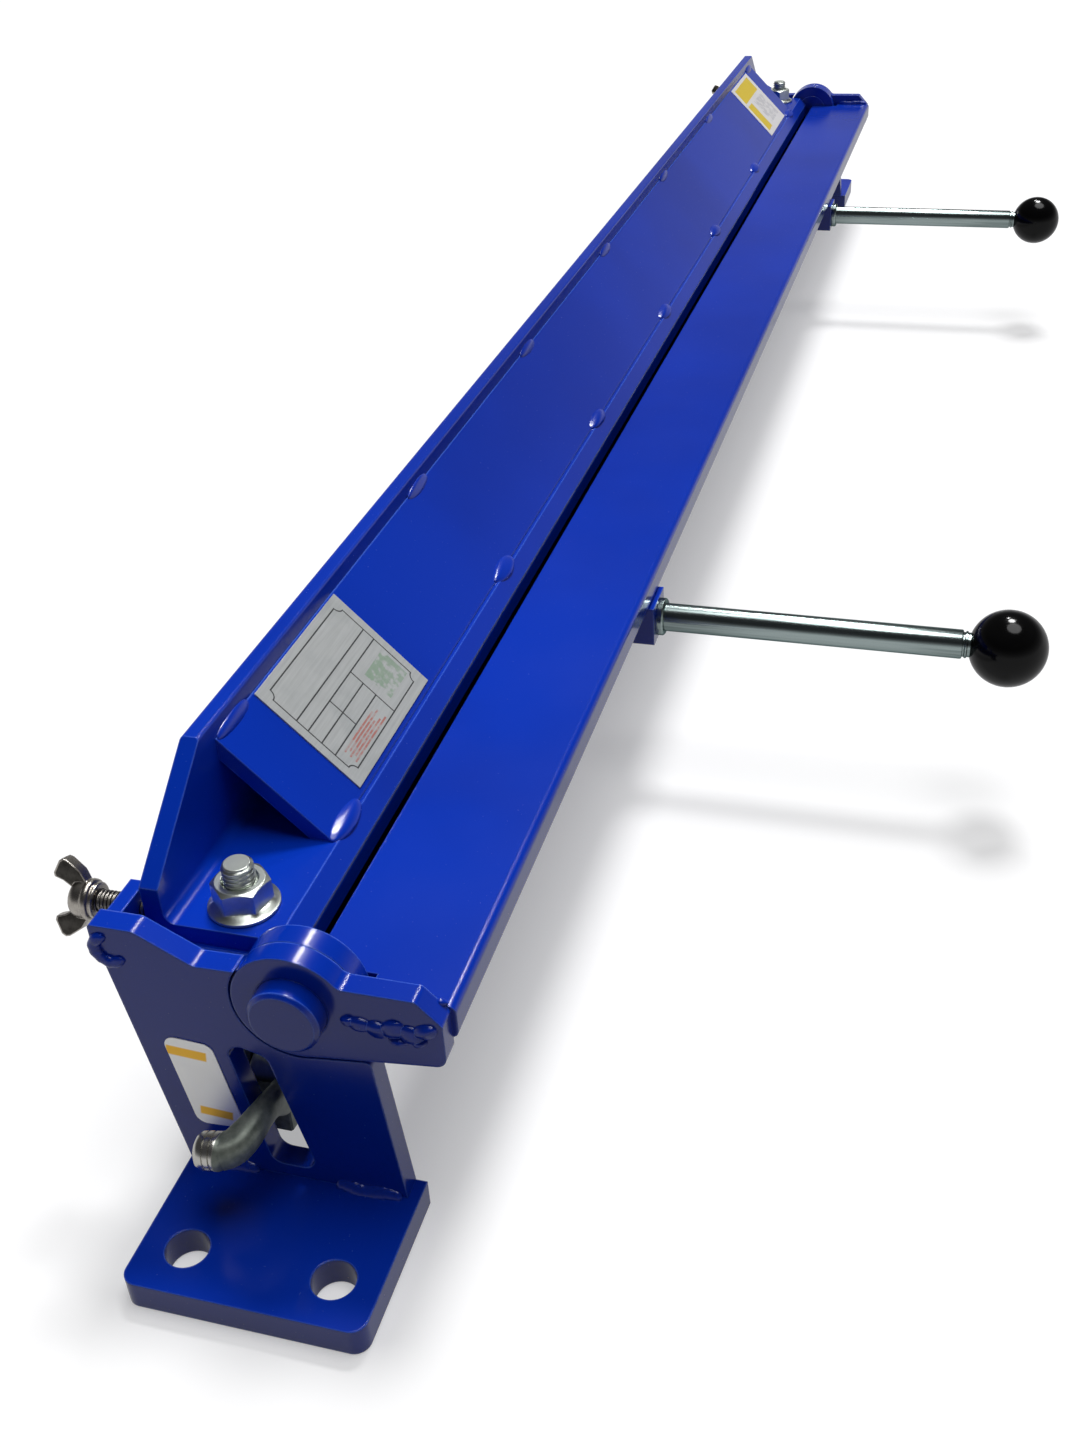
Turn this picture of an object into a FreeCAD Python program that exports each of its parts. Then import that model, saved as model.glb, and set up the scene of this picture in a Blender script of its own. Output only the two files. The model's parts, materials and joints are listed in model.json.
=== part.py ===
import FreeCAD, Part

import math
import os

# Manual sheet metal brake: a bed between two end plates, a folding leaf on end pins,
# and a clamp beam held down by two studs with cam levers.
# Millimetres. Origin midway between the four bench holes, on the underside of the feet.
# +X along the bend line, -Y towards the operator, +Z up.

# Overall
CLEAR_LENGTH = 900.0            # between the inner faces of the end plates
PLATE_T = 6.0                   # end plates and leaf arms
INNER = CLEAR_LENGTH / 2.0      # |X| of the inner faces
OUTER = INNER + PLATE_T
WORK_Z = 70.0                   # work surface of bed and leaf
EDGE_R = 0.8                    # rolled edges of bars and angles
CORNER_R = 3.0                  # sawn and ground corners of the plates

# Hinge
AXIS_Y = -5.5                   # hinge axis, along X
AXIS_Z = WORK_Z - 3.0
EYE_R = 15.0                    # leaf arm eye and frame boss
RECESS_R = EYE_R + 0.6          # hollow in the end plate round the eye
PIN_R = 9.0
PIN_RUNNING = 0.06              # radial clearance of the arm on its pin
PIN_PROUD = 5.5
PIN_CHAMFER = 1.0
ARM_SIDE_GAP = 0.15             # arm to frame boss, along X
BOSS_T = 6.0                    # frame boss inside the end plate
BOSS_X = INNER - BOSS_T

# Feet
FOOT_T = 8.0
FOOT_LEN = 45.0                 # along X, outwards from the end plate's inner face
FOOT_X = INNER + FOOT_LEN
FOOT_HALF_Y = 31.0
FOOT_CORNER_R = 4.0
BENCH_HOLE_R = 5.5
BENCH_HOLE_EDGE = 12.5          # hole centre to the foot's end and near sides
BENCH_HOLE_X = FOOT_X - BENCH_HOLE_EDGE
BENCH_HOLE_Y = FOOT_HALF_Y - 0.96 * BENCH_HOLE_EDGE

# Bed angle
BED_DEPTH = 40.0
BED_FRONT_Y = AXIS_Y + 4.0
BED_REAR_Y = BED_FRONT_Y + BED_DEPTH
BED_T = 6.0
BED_DROP = 40.0
BED_ROOT_R = 4.0                # inner corner of the angle
BED_TOE_R = 2.5

# Leaf
LEAF_REAR_Y = AXIS_Y - 0.3
LEAF_DEPTH = 38.0
LEAF_T = 9.5
LEAF_FRONT_Y = LEAF_REAR_Y - LEAF_DEPTH
LEAF_ROUND = 2.0                # rounded front edge
LEAF_NOTCH_X = BOSS_X - 0.5
LEAF_NOTCH_Y = AXIS_Y - EYE_R - 2.0
ARM_RISE = 5.4                  # arm above the work surface
ARM_TOP_Z = WORK_Z + ARM_RISE
ARM_NOSE_Y = LEAF_FRONT_Y + 1.3
ARM_HEEL_Z = WORK_Z - 13.52     # underside at the nose
ARM_SLOPE_Y = 6.0               # chamfered nose, along Y
ARM_SLOPE_Z = 6.4
ARM_NECK_R = 3.0                # hollow between the eye and the arm's top
ARM_NECK_OUT = 13.9             # hollow's centre, from the axis

# Clamp studs
STUD_X = INNER - 17.5
STUD_Y = BED_FRONT_Y + 0.425 * BED_DEPTH
STUD_R = 4.0
STUD_SLACK = 0.5                # radial room in bed and beam
STUD_TOP_Z = WORK_Z + 18.0
STUD_CHAMFER = 0.8
STUD_RUNNING = 0.08             # radial clearance in the sleeve
EYEBOLT_R = 9.0
EYEBOLT_W = 9.0
CAM_PIVOT_Z = 18.8
CAM_PIN_R = 4.0
CAM_R = 9.5
CAM_OFFSET = 6.5
CAM_ANGLE = 130.0               # direction of the cam centre from the pivot, clamped
CAM_GAP = 0.25
CHEEK_T = 5.0
CHEEK_GAP = 0.2
CHEEK_BOSS_R = 8.0
FORK_OUT = 14.5                 # back of the fork from the pivot
FORK_LOW = -4.8                 # fork web below and above the pivot
FORK_HIGH = 6.2
FORK_BRIDGE_T = 4.5
SLEEVE_R = 6.6
SLEEVE_RING_R = 8.0
SLEEVE_RING_T = 3.0
SLEEVE_LOW_Z = CAM_PIVOT_Z + CAM_R + CAM_OFFSET * math.sin(math.radians(CAM_ANGLE)) + CAM_GAP
NUT_AF = 13.0
NUT_TURN = 12.0                 # degrees that the hexagon stands off the X axis
NUT_FLANGE_R = 8.95
NUT_FLANGE_T = 0.9
NUT_SKIRT_R = 7.0
NUT_SKIRT_T = 1.4
NUT_H = 8.0

# Lever arm
ARM_SIDES = 8
ARM_PATH = (                    # from the pivot along X, Y and Z, then half width and half height
    (5.5, -7.2, -0.3, 2.3, 5.2),
    (13.0, -7.6, 5.4, 2.8, 4.8),
    (17.5, -9.0, 9.6, 2.5, 4.2),
    (21.5, -9.4, 12.1, 2.5, 3.9),
    (27.0, -9.2, 13.4, 3.0, 3.8),
    (32.1, -8.1, 12.8, 3.7, 3.9),
    (35.7, -6.1, 11.6, 4.0, 4.1),
    (37.3, -3.2, 11.0, 4.4, 4.4),
    (37.8, 1.6, 10.9, 4.8, 4.8),
    (37.9, 3.0, 10.9, 3.2, 3.2),
)

# End plate
LEG_INSET = 3.0                 # front leg behind the foot's front edge
SHOULDER_OUT = 18.0             # front shoulder from the axis
SHOULDER_DROP = 13.42
THROAT_ANGLE = 33.9             # degrees above the horizontal where the recess opens
NECK_OUT = 2.3                  # low part of the top edge, behind the stud
EAR_LEN = 11.6                  # ear's top edge, from the lug's back
EAR_RISE = 13.3                 # ear above the work surface
EAR_LOW_RISE = 7.0
EAR_FOOT_RISE = 3.0
WINDOW_LOW_Z = FOOT_T + 4.0
WINDOW_REAR_TOP = -1.0          # window corners from the stud, along Y
WINDOW_FRONT_TOP = -12.0
WINDOW_FRONT_LOW = -20.4
WINDOW_REAR_LOW = -8.1
WINDOW_REAR_DROP = 14.3         # window's slanted top below the axis
WINDOW_FRONT_DROP = 17.7
WINDOW_R = 3.5

# Clamp beam
BEAM_X = BOSS_X - 1.0
BEAM_T = 5.0
BEAM_NOSE_Y = BED_FRONT_Y
BEAM_DEPTH = BED_DEPTH - 2.0
BEAM_REAR_Y = BEAM_NOSE_Y + BEAM_DEPTH
BEAM_H = BEAM_DEPTH             # equal angle
BEAM_TOP_Z = WORK_Z + BEAM_H
BEAM_LEG_Z = WORK_Z + BEAM_T
BEAM_WALL_Y = BEAM_REAR_Y - BEAM_T
BEAM_ROOT_R = 3.0
NOSE_BEVEL = 4.0
NOSE_LAND = 0.7
FLANGE_CUT_LEN = 31.0           # slanted end of the upright flange, along X
FLANGE_CUT_LOW_Z = WORK_Z + 15.0
SLOT_RUN = 13.0 - 2 * (STUD_R + STUD_SLACK)   # straight part of the stud slot
SLOT_FRONT = 2.8                # slot centre's front end before the stud

# Brace plate and its welds
BRACE_X = BEAM_X - 38.0
BRACE_T = 4.5
BRACE_LOW_Y = BEAM_NOSE_Y + 5.0
STITCH_LEN = 17.0
STITCH_END = 9.0                # middle of the outermost stitch from the brace's end
STITCH_PITCH = 128.0
STITCH_MOST = BRACE_X - STITCH_END
STITCHES_EACH_WAY = int(STITCH_MOST // STITCH_PITCH)
BEAD = 2.5                      # leg of the stitch beads

# Plate and labels
PLATE_GAP = 21.7                # rating plate from the brace's end
PLATE_LEN = 54.6
LABEL_GAP = 21.0                # beam label from the brace's end
LABEL_LEN = 54.0
LABEL_Y = BRACE_LOW_Y + 1.3
LABEL_RUN = 26.2                # width of plate and label, seen from above
PLATE_THICK = 0.4
FILM_THICK = 0.25
SIDE_LABEL_TOP = 19.8           # top edge of the side label below the work surface
SIDE_LABEL_LEN = 27.4
SIDE_LABEL_WIDE = 13.2
SIDE_LABEL_LEAN = 4.8           # how far its foot stands before its head

# Beam adjusters
LUG_Y0 = BED_REAR_Y + 1.0
LUG_T = 4.0
LUG_X = INNER - 19.0
LUG_HALF_Z = 8.3
LUG_CUT = 4.5
SCREW_X = INNER - 12.0
SCREW_Z = WORK_Z + 4.3
SCREW_R = 3.0
SCREW_RUNNING = 0.06
SCREW_LEN = 15.5
COLLAR_OUT = 13.2               # collar from the screw's tip
COLLAR_R = 6.2
COLLAR_T = 7.4
WING_SPAN = 27.0
RIGHT_SCREW_TURN = 38.0         # degrees that the wings stand off the vertical
LEFT_SCREW_TURN = -19.0
WING_T = 3.0
WING_TALL = 12.4                # wings beyond the collar's front face
WELD_PLUG_R = 3.6
WELD_PLUG_T = 1.6
FOOT_BEAD = 3.2
LEAF_BEAD = 2.6

# Handles
HANDLE_X = CLEAR_LENGTH * 4.0 / 15.0
HANDLE_WIDE = 16.0
HANDLE_DEEP = 24.0
HANDLE_HIGH = 14.0
HANDLE_Z = WORK_Z - LEAF_T - 6.9
HANDLE_FRONT_Y = LEAF_FRONT_Y - 1.3
HANDLE_BLIND = 4.0              # block left behind the rod's bore
ROD_R = 4.75
ROD_OUT = 107.9                 # rod from the block's face
ROD_END_Y = HANDLE_FRONT_Y - ROD_OUT
ROD_COLLAR_T = 2.5
ROD_COLLAR_R = ROD_R + 1.6
KNOB_R = 12.5
KNOB_SIDES = 24
KNOB_Y = ROD_END_Y - 6.0
KNOB_NECK_R = 6.6
KNOB_NECK_OUT = 14.0            # neck's end from the ball's middle

X_AXIS = FreeCAD.Vector(1, 0, 0)
Y_AXIS = FreeCAD.Vector(0, 1, 0)
Z_AXIS = FreeCAD.Vector(0, 0, 1)


def vec(x, y, z):
    return FreeCAD.Vector(float(x), float(y), float(z))


def block(x0, x1, y0, y1, z0, z1):
    return Part.makeBox(x1 - x0, y1 - y0, z1 - z0, vec(x0, y0, z0))


def rod(radius, length, start, axis):
    return Part.makeCylinder(radius, length, start, axis)


def rounded_outline(corners, place):
    """Closed wire through (a, b, radius) corners; place(a, b) gives the 3-D point."""
    count = len(corners)
    flat = [FreeCAD.Vector(a, b, 0) for a, b, _ in corners]
    spans = []
    for i in range(count):
        before = flat[i - 1] - flat[i]
        after = flat[(i + 1) % count] - flat[i]
        before.normalize()
        after.normalize()
        radius = corners[i][2]
        if radius <= 0:
            spans.append((flat[i], None, flat[i]))
            continue
        half = before.getAngle(after) / 2.0
        run = radius / math.tan(half)
        middle = before + after
        middle.normalize()
        centre = flat[i] + middle * (radius / math.sin(half))
        crown = centre - middle * radius
        spans.append((flat[i] + before * run, crown, flat[i] + after * run))
    edges = []
    for i in range(count):
        start, crown, end = spans[i]
        if crown is not None:
            arc = Part.Arc(place(start.x, start.y), place(crown.x, crown.y), place(end.x, end.y))
            edges.append(arc.toShape())
        following = spans[(i + 1) % count][0]
        if (following - end).Length > 1e-6:
            edges.append(Part.makeLine(place(end.x, end.y), place(following.x, following.y)))
    return Part.Wire(edges)


def prism_x(corners, x0, x1):
    """Solid from (y, z, radius) corners, extruded along X."""
    wire = rounded_outline(corners, lambda a, b: vec(x0, a, b))
    return Part.Face(wire).extrude(vec(x1 - x0, 0, 0))


def prism_y(corners, y0, y1):
    """Solid from (x, z, radius) corners, extruded along Y."""
    wire = rounded_outline(corners, lambda a, b: vec(a, y0, b))
    return Part.Face(wire).extrude(vec(0, y1 - y0, 0))


def prism_z(corners, z0, z1):
    """Solid from (x, y, radius) corners, extruded along Z."""
    wire = rounded_outline(corners, lambda a, b: vec(a, b, z0))
    return Part.Face(wire).extrude(vec(0, 0, z1 - z0))


def faceted_solid(rings):
    """Solid of flat facets over a row of closed rings with equal counts, closed at both ends."""
    count = len(rings[0])
    faces = [Part.Face(Part.makePolygon(ring + ring[:1])) for ring in (rings[0], rings[-1])]
    for near, far in zip(rings, rings[1:]):
        for i in range(count):
            j = (i + 1) % count
            faces.append(Part.Face(Part.makePolygon([near[i], near[j], far[i], near[i]])))
            faces.append(Part.Face(Part.makePolygon([near[j], far[j], far[i], near[j]])))
    solid = Part.Solid(Part.makeShell(faces))
    if solid.Volume < 0:
        solid.reverse()
    return solid


def faceted_ball(radius, sides):
    """Ball of flat facets about the Y axis, with a small flat at each pole."""
    rows = sides // 2
    rings = []
    for row in range(rows + 1):
        tilt = math.pi * min(max(row, 0.25), rows - 0.25) / rows
        out = radius * math.sin(tilt)
        angles = [2 * math.pi * i / sides for i in range(sides)]
        rings.append([vec(out * math.cos(a), radius * math.cos(tilt), out * math.sin(a)) for a in angles])
    return faceted_solid(rings)


def ring_across(centre, forward, half_wide, half_high):
    """Eight-sided ring square to a direction, with flats above, below and at the sides."""
    across = forward.cross(Z_AXIS)
    across.normalize()
    rise = across.cross(forward)
    rise.normalize()
    ring = []
    for i in range(ARM_SIDES):
        a = 2 * math.pi * (i + 0.5) / ARM_SIDES
        ring.append(centre + across * (half_wide * math.cos(a)) + rise * (half_high * math.sin(a)))
    return ring


def mirrored(shape):
    return shape.mirror(vec(0, 0, 0), X_AXIS)


# Frame

def end_plate():
    throat = math.radians(THROAT_ANGLE)
    rear = LUG_Y0 + LUG_T
    outline = [
        (LEG_INSET - FOOT_HALF_Y, FOOT_T, 0),
        (AXIS_Y - SHOULDER_OUT, AXIS_Z - SHOULDER_DROP, CORNER_R / 2),
        (AXIS_Y, AXIS_Z - RECESS_R, 0), (AXIS_Y, AXIS_Z - RECESS_R / 2, 0),
        (AXIS_Y + RECESS_R * math.cos(throat), AXIS_Z + RECESS_R * math.sin(throat), 0),
        (STUD_Y + NECK_OUT, ARM_TOP_Z, CORNER_R), (rear - EAR_LEN, WORK_Z + EAR_RISE, CORNER_R),
        (rear, WORK_Z + EAR_RISE, EDGE_R), (rear, WORK_Z + EAR_LOW_RISE, EDGE_R),
        (rear - LUG_T / 2, WORK_Z + EAR_FOOT_RISE, CORNER_R / 2), (FOOT_HALF_Y, FOOT_T, 0),
    ]
    plate = prism_x(outline, INNER, OUTER)
    plate = plate.cut(rod(RECESS_R, PLATE_T + 2, vec(INNER - 1, AXIS_Y, AXIS_Z), X_AXIS))
    window = [
        (STUD_Y + WINDOW_REAR_TOP, AXIS_Z - WINDOW_REAR_DROP, WINDOW_R),
        (STUD_Y + WINDOW_FRONT_TOP, AXIS_Z - WINDOW_FRONT_DROP, WINDOW_R),
        (STUD_Y + WINDOW_FRONT_LOW, WINDOW_LOW_Z, WINDOW_R),
        (STUD_Y + WINDOW_REAR_LOW, WINDOW_LOW_Z, WINDOW_R),
    ]
    return plate.cut(prism_x(window, INNER - 1, OUTER + 1))


def foot_plate():
    corners = [
        (INNER, -FOOT_HALF_Y, 0), (FOOT_X, -FOOT_HALF_Y, FOOT_CORNER_R),
        (FOOT_X, FOOT_HALF_Y, FOOT_CORNER_R), (INNER, FOOT_HALF_Y, 0),
    ]
    foot = prism_z(corners, 0, FOOT_T)
    for side in (-1, 1):
        foot = foot.cut(rod(BENCH_HOLE_R, FOOT_T + 2, vec(BENCH_HOLE_X, side * BENCH_HOLE_Y, -1), Z_AXIS))
    return foot


def hinge_lug():
    """Round boss behind the eye, with a tail that joins the bed end to the end plate."""
    lug = rod(EYE_R, BOSS_T, vec(BOSS_X, AXIS_Y, AXIS_Z), X_AXIS)
    lug = lug.fuse(block(BOSS_X, INNER, BED_FRONT_Y, BED_REAR_Y - 2.5, AXIS_Z - EYE_R, WORK_Z - 0.1))
    web_y = BED_FRONT_Y + 0.65 * BED_T
    lug = lug.fuse(block(BOSS_X, INNER, BED_FRONT_Y, web_y, WORK_Z - BED_DROP, AXIS_Z - PIN_R))
    lug = lug.removeSplitter()
    return lug.cut(rod(PIN_R, BOSS_T + 2, vec(BOSS_X - 1, AXIS_Y, AXIS_Z), X_AXIS))


def hinge_pin():
    length = OUTER + PIN_PROUD - BOSS_X
    pin = rod(PIN_R, length, vec(BOSS_X, AXIS_Y, AXIS_Z), X_AXIS)
    rim = [e for e in pin.Edges if e.Curve.TypeId == "Part::GeomCircle" and e.CenterOfMass.x > OUTER]
    return pin.makeChamfer(PIN_CHAMFER, rim)


def bed_angle():
    low = WORK_Z - BED_DROP
    section = [
        (BED_FRONT_Y, WORK_Z, EDGE_R), (BED_REAR_Y, WORK_Z, EDGE_R),
        (BED_REAR_Y, WORK_Z - BED_T, BED_TOE_R), (BED_FRONT_Y + BED_T, WORK_Z - BED_T, BED_ROOT_R),
        (BED_FRONT_Y + BED_T, low, BED_TOE_R), (BED_FRONT_Y, low, EDGE_R),
    ]
    bed = prism_x(section, -BOSS_X, BOSS_X)
    for side in (-1, 1):
        start = vec(side * STUD_X, STUD_Y, WORK_Z - 2 * BED_T)
        bed = bed.cut(rod(STUD_R + STUD_SLACK, 3 * BED_T, start, Z_AXIS))
    return bed


def thrust_sleeve():
    """Tube under the bed that guides the stud and takes the push of the cams."""
    length = WORK_Z - BED_T - SLEEVE_LOW_Z
    start = vec(STUD_X, STUD_Y, SLEEVE_LOW_Z)
    sleeve = rod(SLEEVE_R, length, start, Z_AXIS).fuse(rod(SLEEVE_RING_R, SLEEVE_RING_T, start, Z_AXIS))
    bore = rod(STUD_R + STUD_RUNNING, length + 2, start - Z_AXIS, Z_AXIS)
    return sleeve.removeSplitter().cut(bore)


def adjuster_lug():
    low = SCREW_Z - LUG_HALF_Z - 2.0
    high = SCREW_Z + LUG_HALF_Z - 2.0
    corners = [
        (LUG_X, low, 2 * EDGE_R), (INNER, low, 0), (INNER, high, 0),
        (LUG_X + LUG_CUT, high, 0), (LUG_X, high - LUG_CUT, 0),
    ]
    lug = prism_y(corners, LUG_Y0, LUG_Y0 + LUG_T)
    return lug.cut(rod(SCREW_R + SCREW_RUNNING, 3 * LUG_T, vec(SCREW_X, LUG_Y0 - LUG_T, SCREW_Z), Y_AXIS))


def frame_welds():
    """Fillet beads of the two legs on the foot, and a plug bead opposite the adjuster lug."""
    front_leg = (LEG_INSET - FOOT_HALF_Y + EDGE_R, STUD_Y + WINDOW_FRONT_LOW - CORNER_R)
    rear_leg = (STUD_Y + WINDOW_REAR_LOW + CORNER_R, FOOT_HALF_Y - EDGE_R)
    beads = []
    for y0, y1 in (front_leg, rear_leg):
        section = [(OUTER, FOOT_T, 0), (OUTER + FOOT_BEAD, FOOT_T, 0), (OUTER, FOOT_T + FOOT_BEAD, 0)]
        beads.append(prism_y(section, y0, y1))
    beads.append(rod(WELD_PLUG_R, WELD_PLUG_T, vec(OUTER, LUG_Y0, WORK_Z + 0.5 * EAR_RISE), X_AXIS))
    return Part.makeCompound(beads)


# Leaf

def leaf_bar():
    low = WORK_Z - LEAF_T
    section = [
        (LEAF_REAR_Y, WORK_Z, EDGE_R), (LEAF_FRONT_Y, WORK_Z, LEAF_ROUND),
        (LEAF_FRONT_Y, low, LEAF_ROUND), (LEAF_REAR_Y, low, EDGE_R),
    ]
    end = INNER + ARM_SIDE_GAP
    bar = prism_x(section, -end, end)
    for x0, x1 in ((LEAF_NOTCH_X, end + 1), (-end - 1, -LEAF_NOTCH_X)):
        bar = bar.cut(block(x0, x1, LEAF_NOTCH_Y, LEAF_REAR_Y + 1, low - 1, WORK_Z + 1))
    return bar


def leaf_arm():
    """Flat arm in the plane of the end plate: eye, hollow neck and chamfered nose."""
    inner = INNER + ARM_SIDE_GAP
    wide = OUTER - inner
    neck_y = AXIS_Y - ARM_NECK_OUT
    neck_z = ARM_TOP_Z + ARM_NECK_R
    outline = [
        (AXIS_Y, AXIS_Z - EYE_R, 0), (ARM_NOSE_Y, ARM_HEEL_Z, CORNER_R),
        (ARM_NOSE_Y, ARM_TOP_Z - ARM_SLOPE_Z, EDGE_R), (ARM_NOSE_Y + ARM_SLOPE_Y, ARM_TOP_Z, 2 * EDGE_R),
        (neck_y + ARM_NECK_R, ARM_TOP_Z, 0), (AXIS_Y, WORK_Z, 0),
    ]
    fill = [
        (neck_y, WORK_Z, 0), (neck_y, ARM_TOP_Z, 0),
        (neck_y + 0.8 * ARM_NECK_R, neck_z - 0.6 * ARM_NECK_R, 0), (neck_y + 2 * ARM_NECK_R, WORK_Z, 0),
    ]
    hollow = rod(ARM_NECK_R, wide + 2, vec(inner - 1, neck_y, neck_z), X_AXIS)
    arm = prism_x(outline, inner, OUTER).fuse(prism_x(fill, inner, OUTER).cut(hollow))
    arm = arm.fuse(rod(EYE_R, wide, vec(inner, AXIS_Y, AXIS_Z), X_AXIS)).removeSplitter()
    return arm.cut(rod(PIN_R + PIN_RUNNING, wide + 2, vec(inner - 1, AXIS_Y, AXIS_Z), X_AXIS))


def leaf_weld():
    """Bead where the arm stands proud of the leaf's top face."""
    x1 = INNER + ARM_SIDE_GAP
    section = [(x1, WORK_Z, 0), (x1, WORK_Z + LEAF_BEAD, 0), (x1 - LEAF_BEAD, WORK_Z, 0)]
    return prism_y(section, LEAF_FRONT_Y + CORNER_R, LEAF_NOTCH_Y - LEAF_BEAD / 2)


def handle_block():
    top = WORK_Z - LEAF_T
    half = HANDLE_WIDE / 2
    corners = [
        (HANDLE_X - half, top - HANDLE_HIGH, EDGE_R), (HANDLE_X + half, top - HANDLE_HIGH, EDGE_R),
        (HANDLE_X + half, top, 0), (HANDLE_X - half, top, 0),
    ]
    body = prism_y(corners, HANDLE_FRONT_Y, HANDLE_FRONT_Y + HANDLE_DEEP)
    bore = rod(ROD_R, HANDLE_DEEP - HANDLE_BLIND + 1, vec(HANDLE_X, HANDLE_FRONT_Y - 1, HANDLE_Z), Y_AXIS)
    return body.cut(bore)


def handle_rod():
    length = ROD_OUT + HANDLE_DEEP - HANDLE_BLIND
    shaft = rod(ROD_R, length, vec(HANDLE_X, ROD_END_Y, HANDLE_Z), Y_AXIS)
    start = vec(HANDLE_X, HANDLE_FRONT_Y - ROD_COLLAR_T, HANDLE_Z)
    return shaft.fuse(rod(ROD_COLLAR_R, ROD_COLLAR_T, start, Y_AXIS)).removeSplitter()


def handle_knob():
    ball = faceted_ball(KNOB_R, KNOB_SIDES)
    neck = rod(KNOB_NECK_R, KNOB_NECK_OUT, vec(0, 0, 0), Y_AXIS)
    knob = ball.fuse(neck)
    knob.translate(vec(HANDLE_X, KNOB_Y, HANDLE_Z))
    return knob.cut(rod(ROD_R, 2 * KNOB_R, vec(HANDLE_X, ROD_END_Y, HANDLE_Z), Y_AXIS))


# Clamp beam

def clamp_beam():
    section = [
        (BEAM_NOSE_Y, WORK_Z, 0), (BEAM_NOSE_Y, WORK_Z + NOSE_LAND, 0),
        (BEAM_NOSE_Y + NOSE_BEVEL, BEAM_LEG_Z, 0), (BEAM_WALL_Y, BEAM_LEG_Z, BEAM_ROOT_R),
        (BEAM_WALL_Y, BEAM_TOP_Z, EDGE_R), (BEAM_REAR_Y, BEAM_TOP_Z, EDGE_R),
        (BEAM_REAR_Y, WORK_Z, EDGE_R),
    ]
    beam = prism_x(section, -BEAM_X, BEAM_X)
    slant = (BEAM_TOP_Z - FLANGE_CUT_LOW_Z) / FLANGE_CUT_LEN
    half = STUD_R + STUD_SLACK
    for side in (-1, 1):
        corners = [
            (side * (BEAM_X - FLANGE_CUT_LEN - 2 / slant), BEAM_TOP_Z + 2, 0),
            (side * (BEAM_X + 2), FLANGE_CUT_LOW_Z - 2 * slant, 0),
            (side * (BEAM_X + FLANGE_CUT_LEN), BEAM_TOP_Z + 2, 0),
        ]
        beam = beam.cut(prism_y(corners, BEAM_WALL_Y - 1, BEAM_REAR_Y + 1))
        x = side * STUD_X
        front = STUD_Y - SLOT_FRONT
        rear = front + SLOT_RUN
        slot = block(x - half, x + half, front, rear, WORK_Z - 1, BEAM_LEG_Z + 1)
        for y in (front, rear):
            slot = slot.fuse(rod(half, BEAM_T + 2, vec(x, y, WORK_Z - 1), Z_AXIS))
        beam = beam.cut(slot.removeSplitter())
    return beam


def brace_line(y):
    """Height of the brace plate's upper face at a given Y."""
    return BEAM_LEG_Z + (y - BRACE_LOW_Y)


def brace_plate():
    back = BRACE_T * math.sqrt(2.0)
    top = brace_line(BEAM_WALL_Y)
    section = [
        (BRACE_LOW_Y, BEAM_LEG_Z, 0), (BEAM_WALL_Y, top, 0),
        (BEAM_WALL_Y, top - back, 0), (BRACE_LOW_Y + back, BEAM_LEG_Z, 0),
    ]
    return prism_x(section, -BRACE_X, BRACE_X)


def brace_stitches():
    """Short beads along both edges of the brace plate."""
    top = brace_line(BEAM_WALL_Y)
    low = [
        (BRACE_LOW_Y - 0.36 * BEAD, BEAM_LEG_Z, 0), (BRACE_LOW_Y, BEAM_LEG_Z, 0),
        (BRACE_LOW_Y + 0.96 * BEAD, BEAM_LEG_Z + 0.96 * BEAD, 0),
        (BRACE_LOW_Y + 0.36 * BEAD, BEAM_LEG_Z + BEAD, 0),
        (BRACE_LOW_Y - 0.28 * BEAD, BEAM_LEG_Z + 0.48 * BEAD, 0),
    ]
    high = [
        (BEAM_WALL_Y, top, 0), (BEAM_WALL_Y, top + BEAD, 0),
        (BEAM_WALL_Y - 0.64 * BEAD, top + 0.76 * BEAD, 0),
        (BEAM_WALL_Y - 1.08 * BEAD, top - 0.2 * BEAD, 0),
        (BEAM_WALL_Y - 0.96 * BEAD, top - 0.96 * BEAD, 0),
    ]
    middles = [i * STITCH_PITCH for i in range(STITCHES_EACH_WAY)] + [STITCH_MOST]
    beads = []
    for x in sorted({side * m for m in middles for side in (-1, 1)}):
        for section in (low, high):
            beads.append(prism_x(section, x - STITCH_LEN / 2, x + STITCH_LEN / 2))
    return Part.makeCompound(beads)


def on_brace(x0, x1, thick):
    """Thin plate lying on the brace plate's upper face."""
    up = thick / math.sqrt(2.0)
    y0 = LABEL_Y
    y1 = LABEL_Y + LABEL_RUN
    section = [
        (y0, brace_line(y0), 0), (y1, brace_line(y1), 0),
        (y1 - up, brace_line(y1) + up, 0), (y0 - up, brace_line(y0) + up, 0),
    ]
    return prism_x(section, x0, x1)


def side_label():
    """Film on the left end plate, leaning like the plate's rear edge."""
    top = WORK_Z - SIDE_LABEL_TOP
    front = STUD_Y + NECK_OUT
    low = top - SIDE_LABEL_LEN
    corners = [
        (front + SIDE_LABEL_WIDE, top + EDGE_R, CORNER_R), (front, top, CORNER_R),
        (front - SIDE_LABEL_LEAN, low, CORNER_R),
        (front + SIDE_LABEL_WIDE - SIDE_LABEL_LEAN, low - EDGE_R, CORNER_R),
    ]
    return prism_x(corners, -OUTER - FILM_THICK, -OUTER)


# Clamp studs and levers

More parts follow.
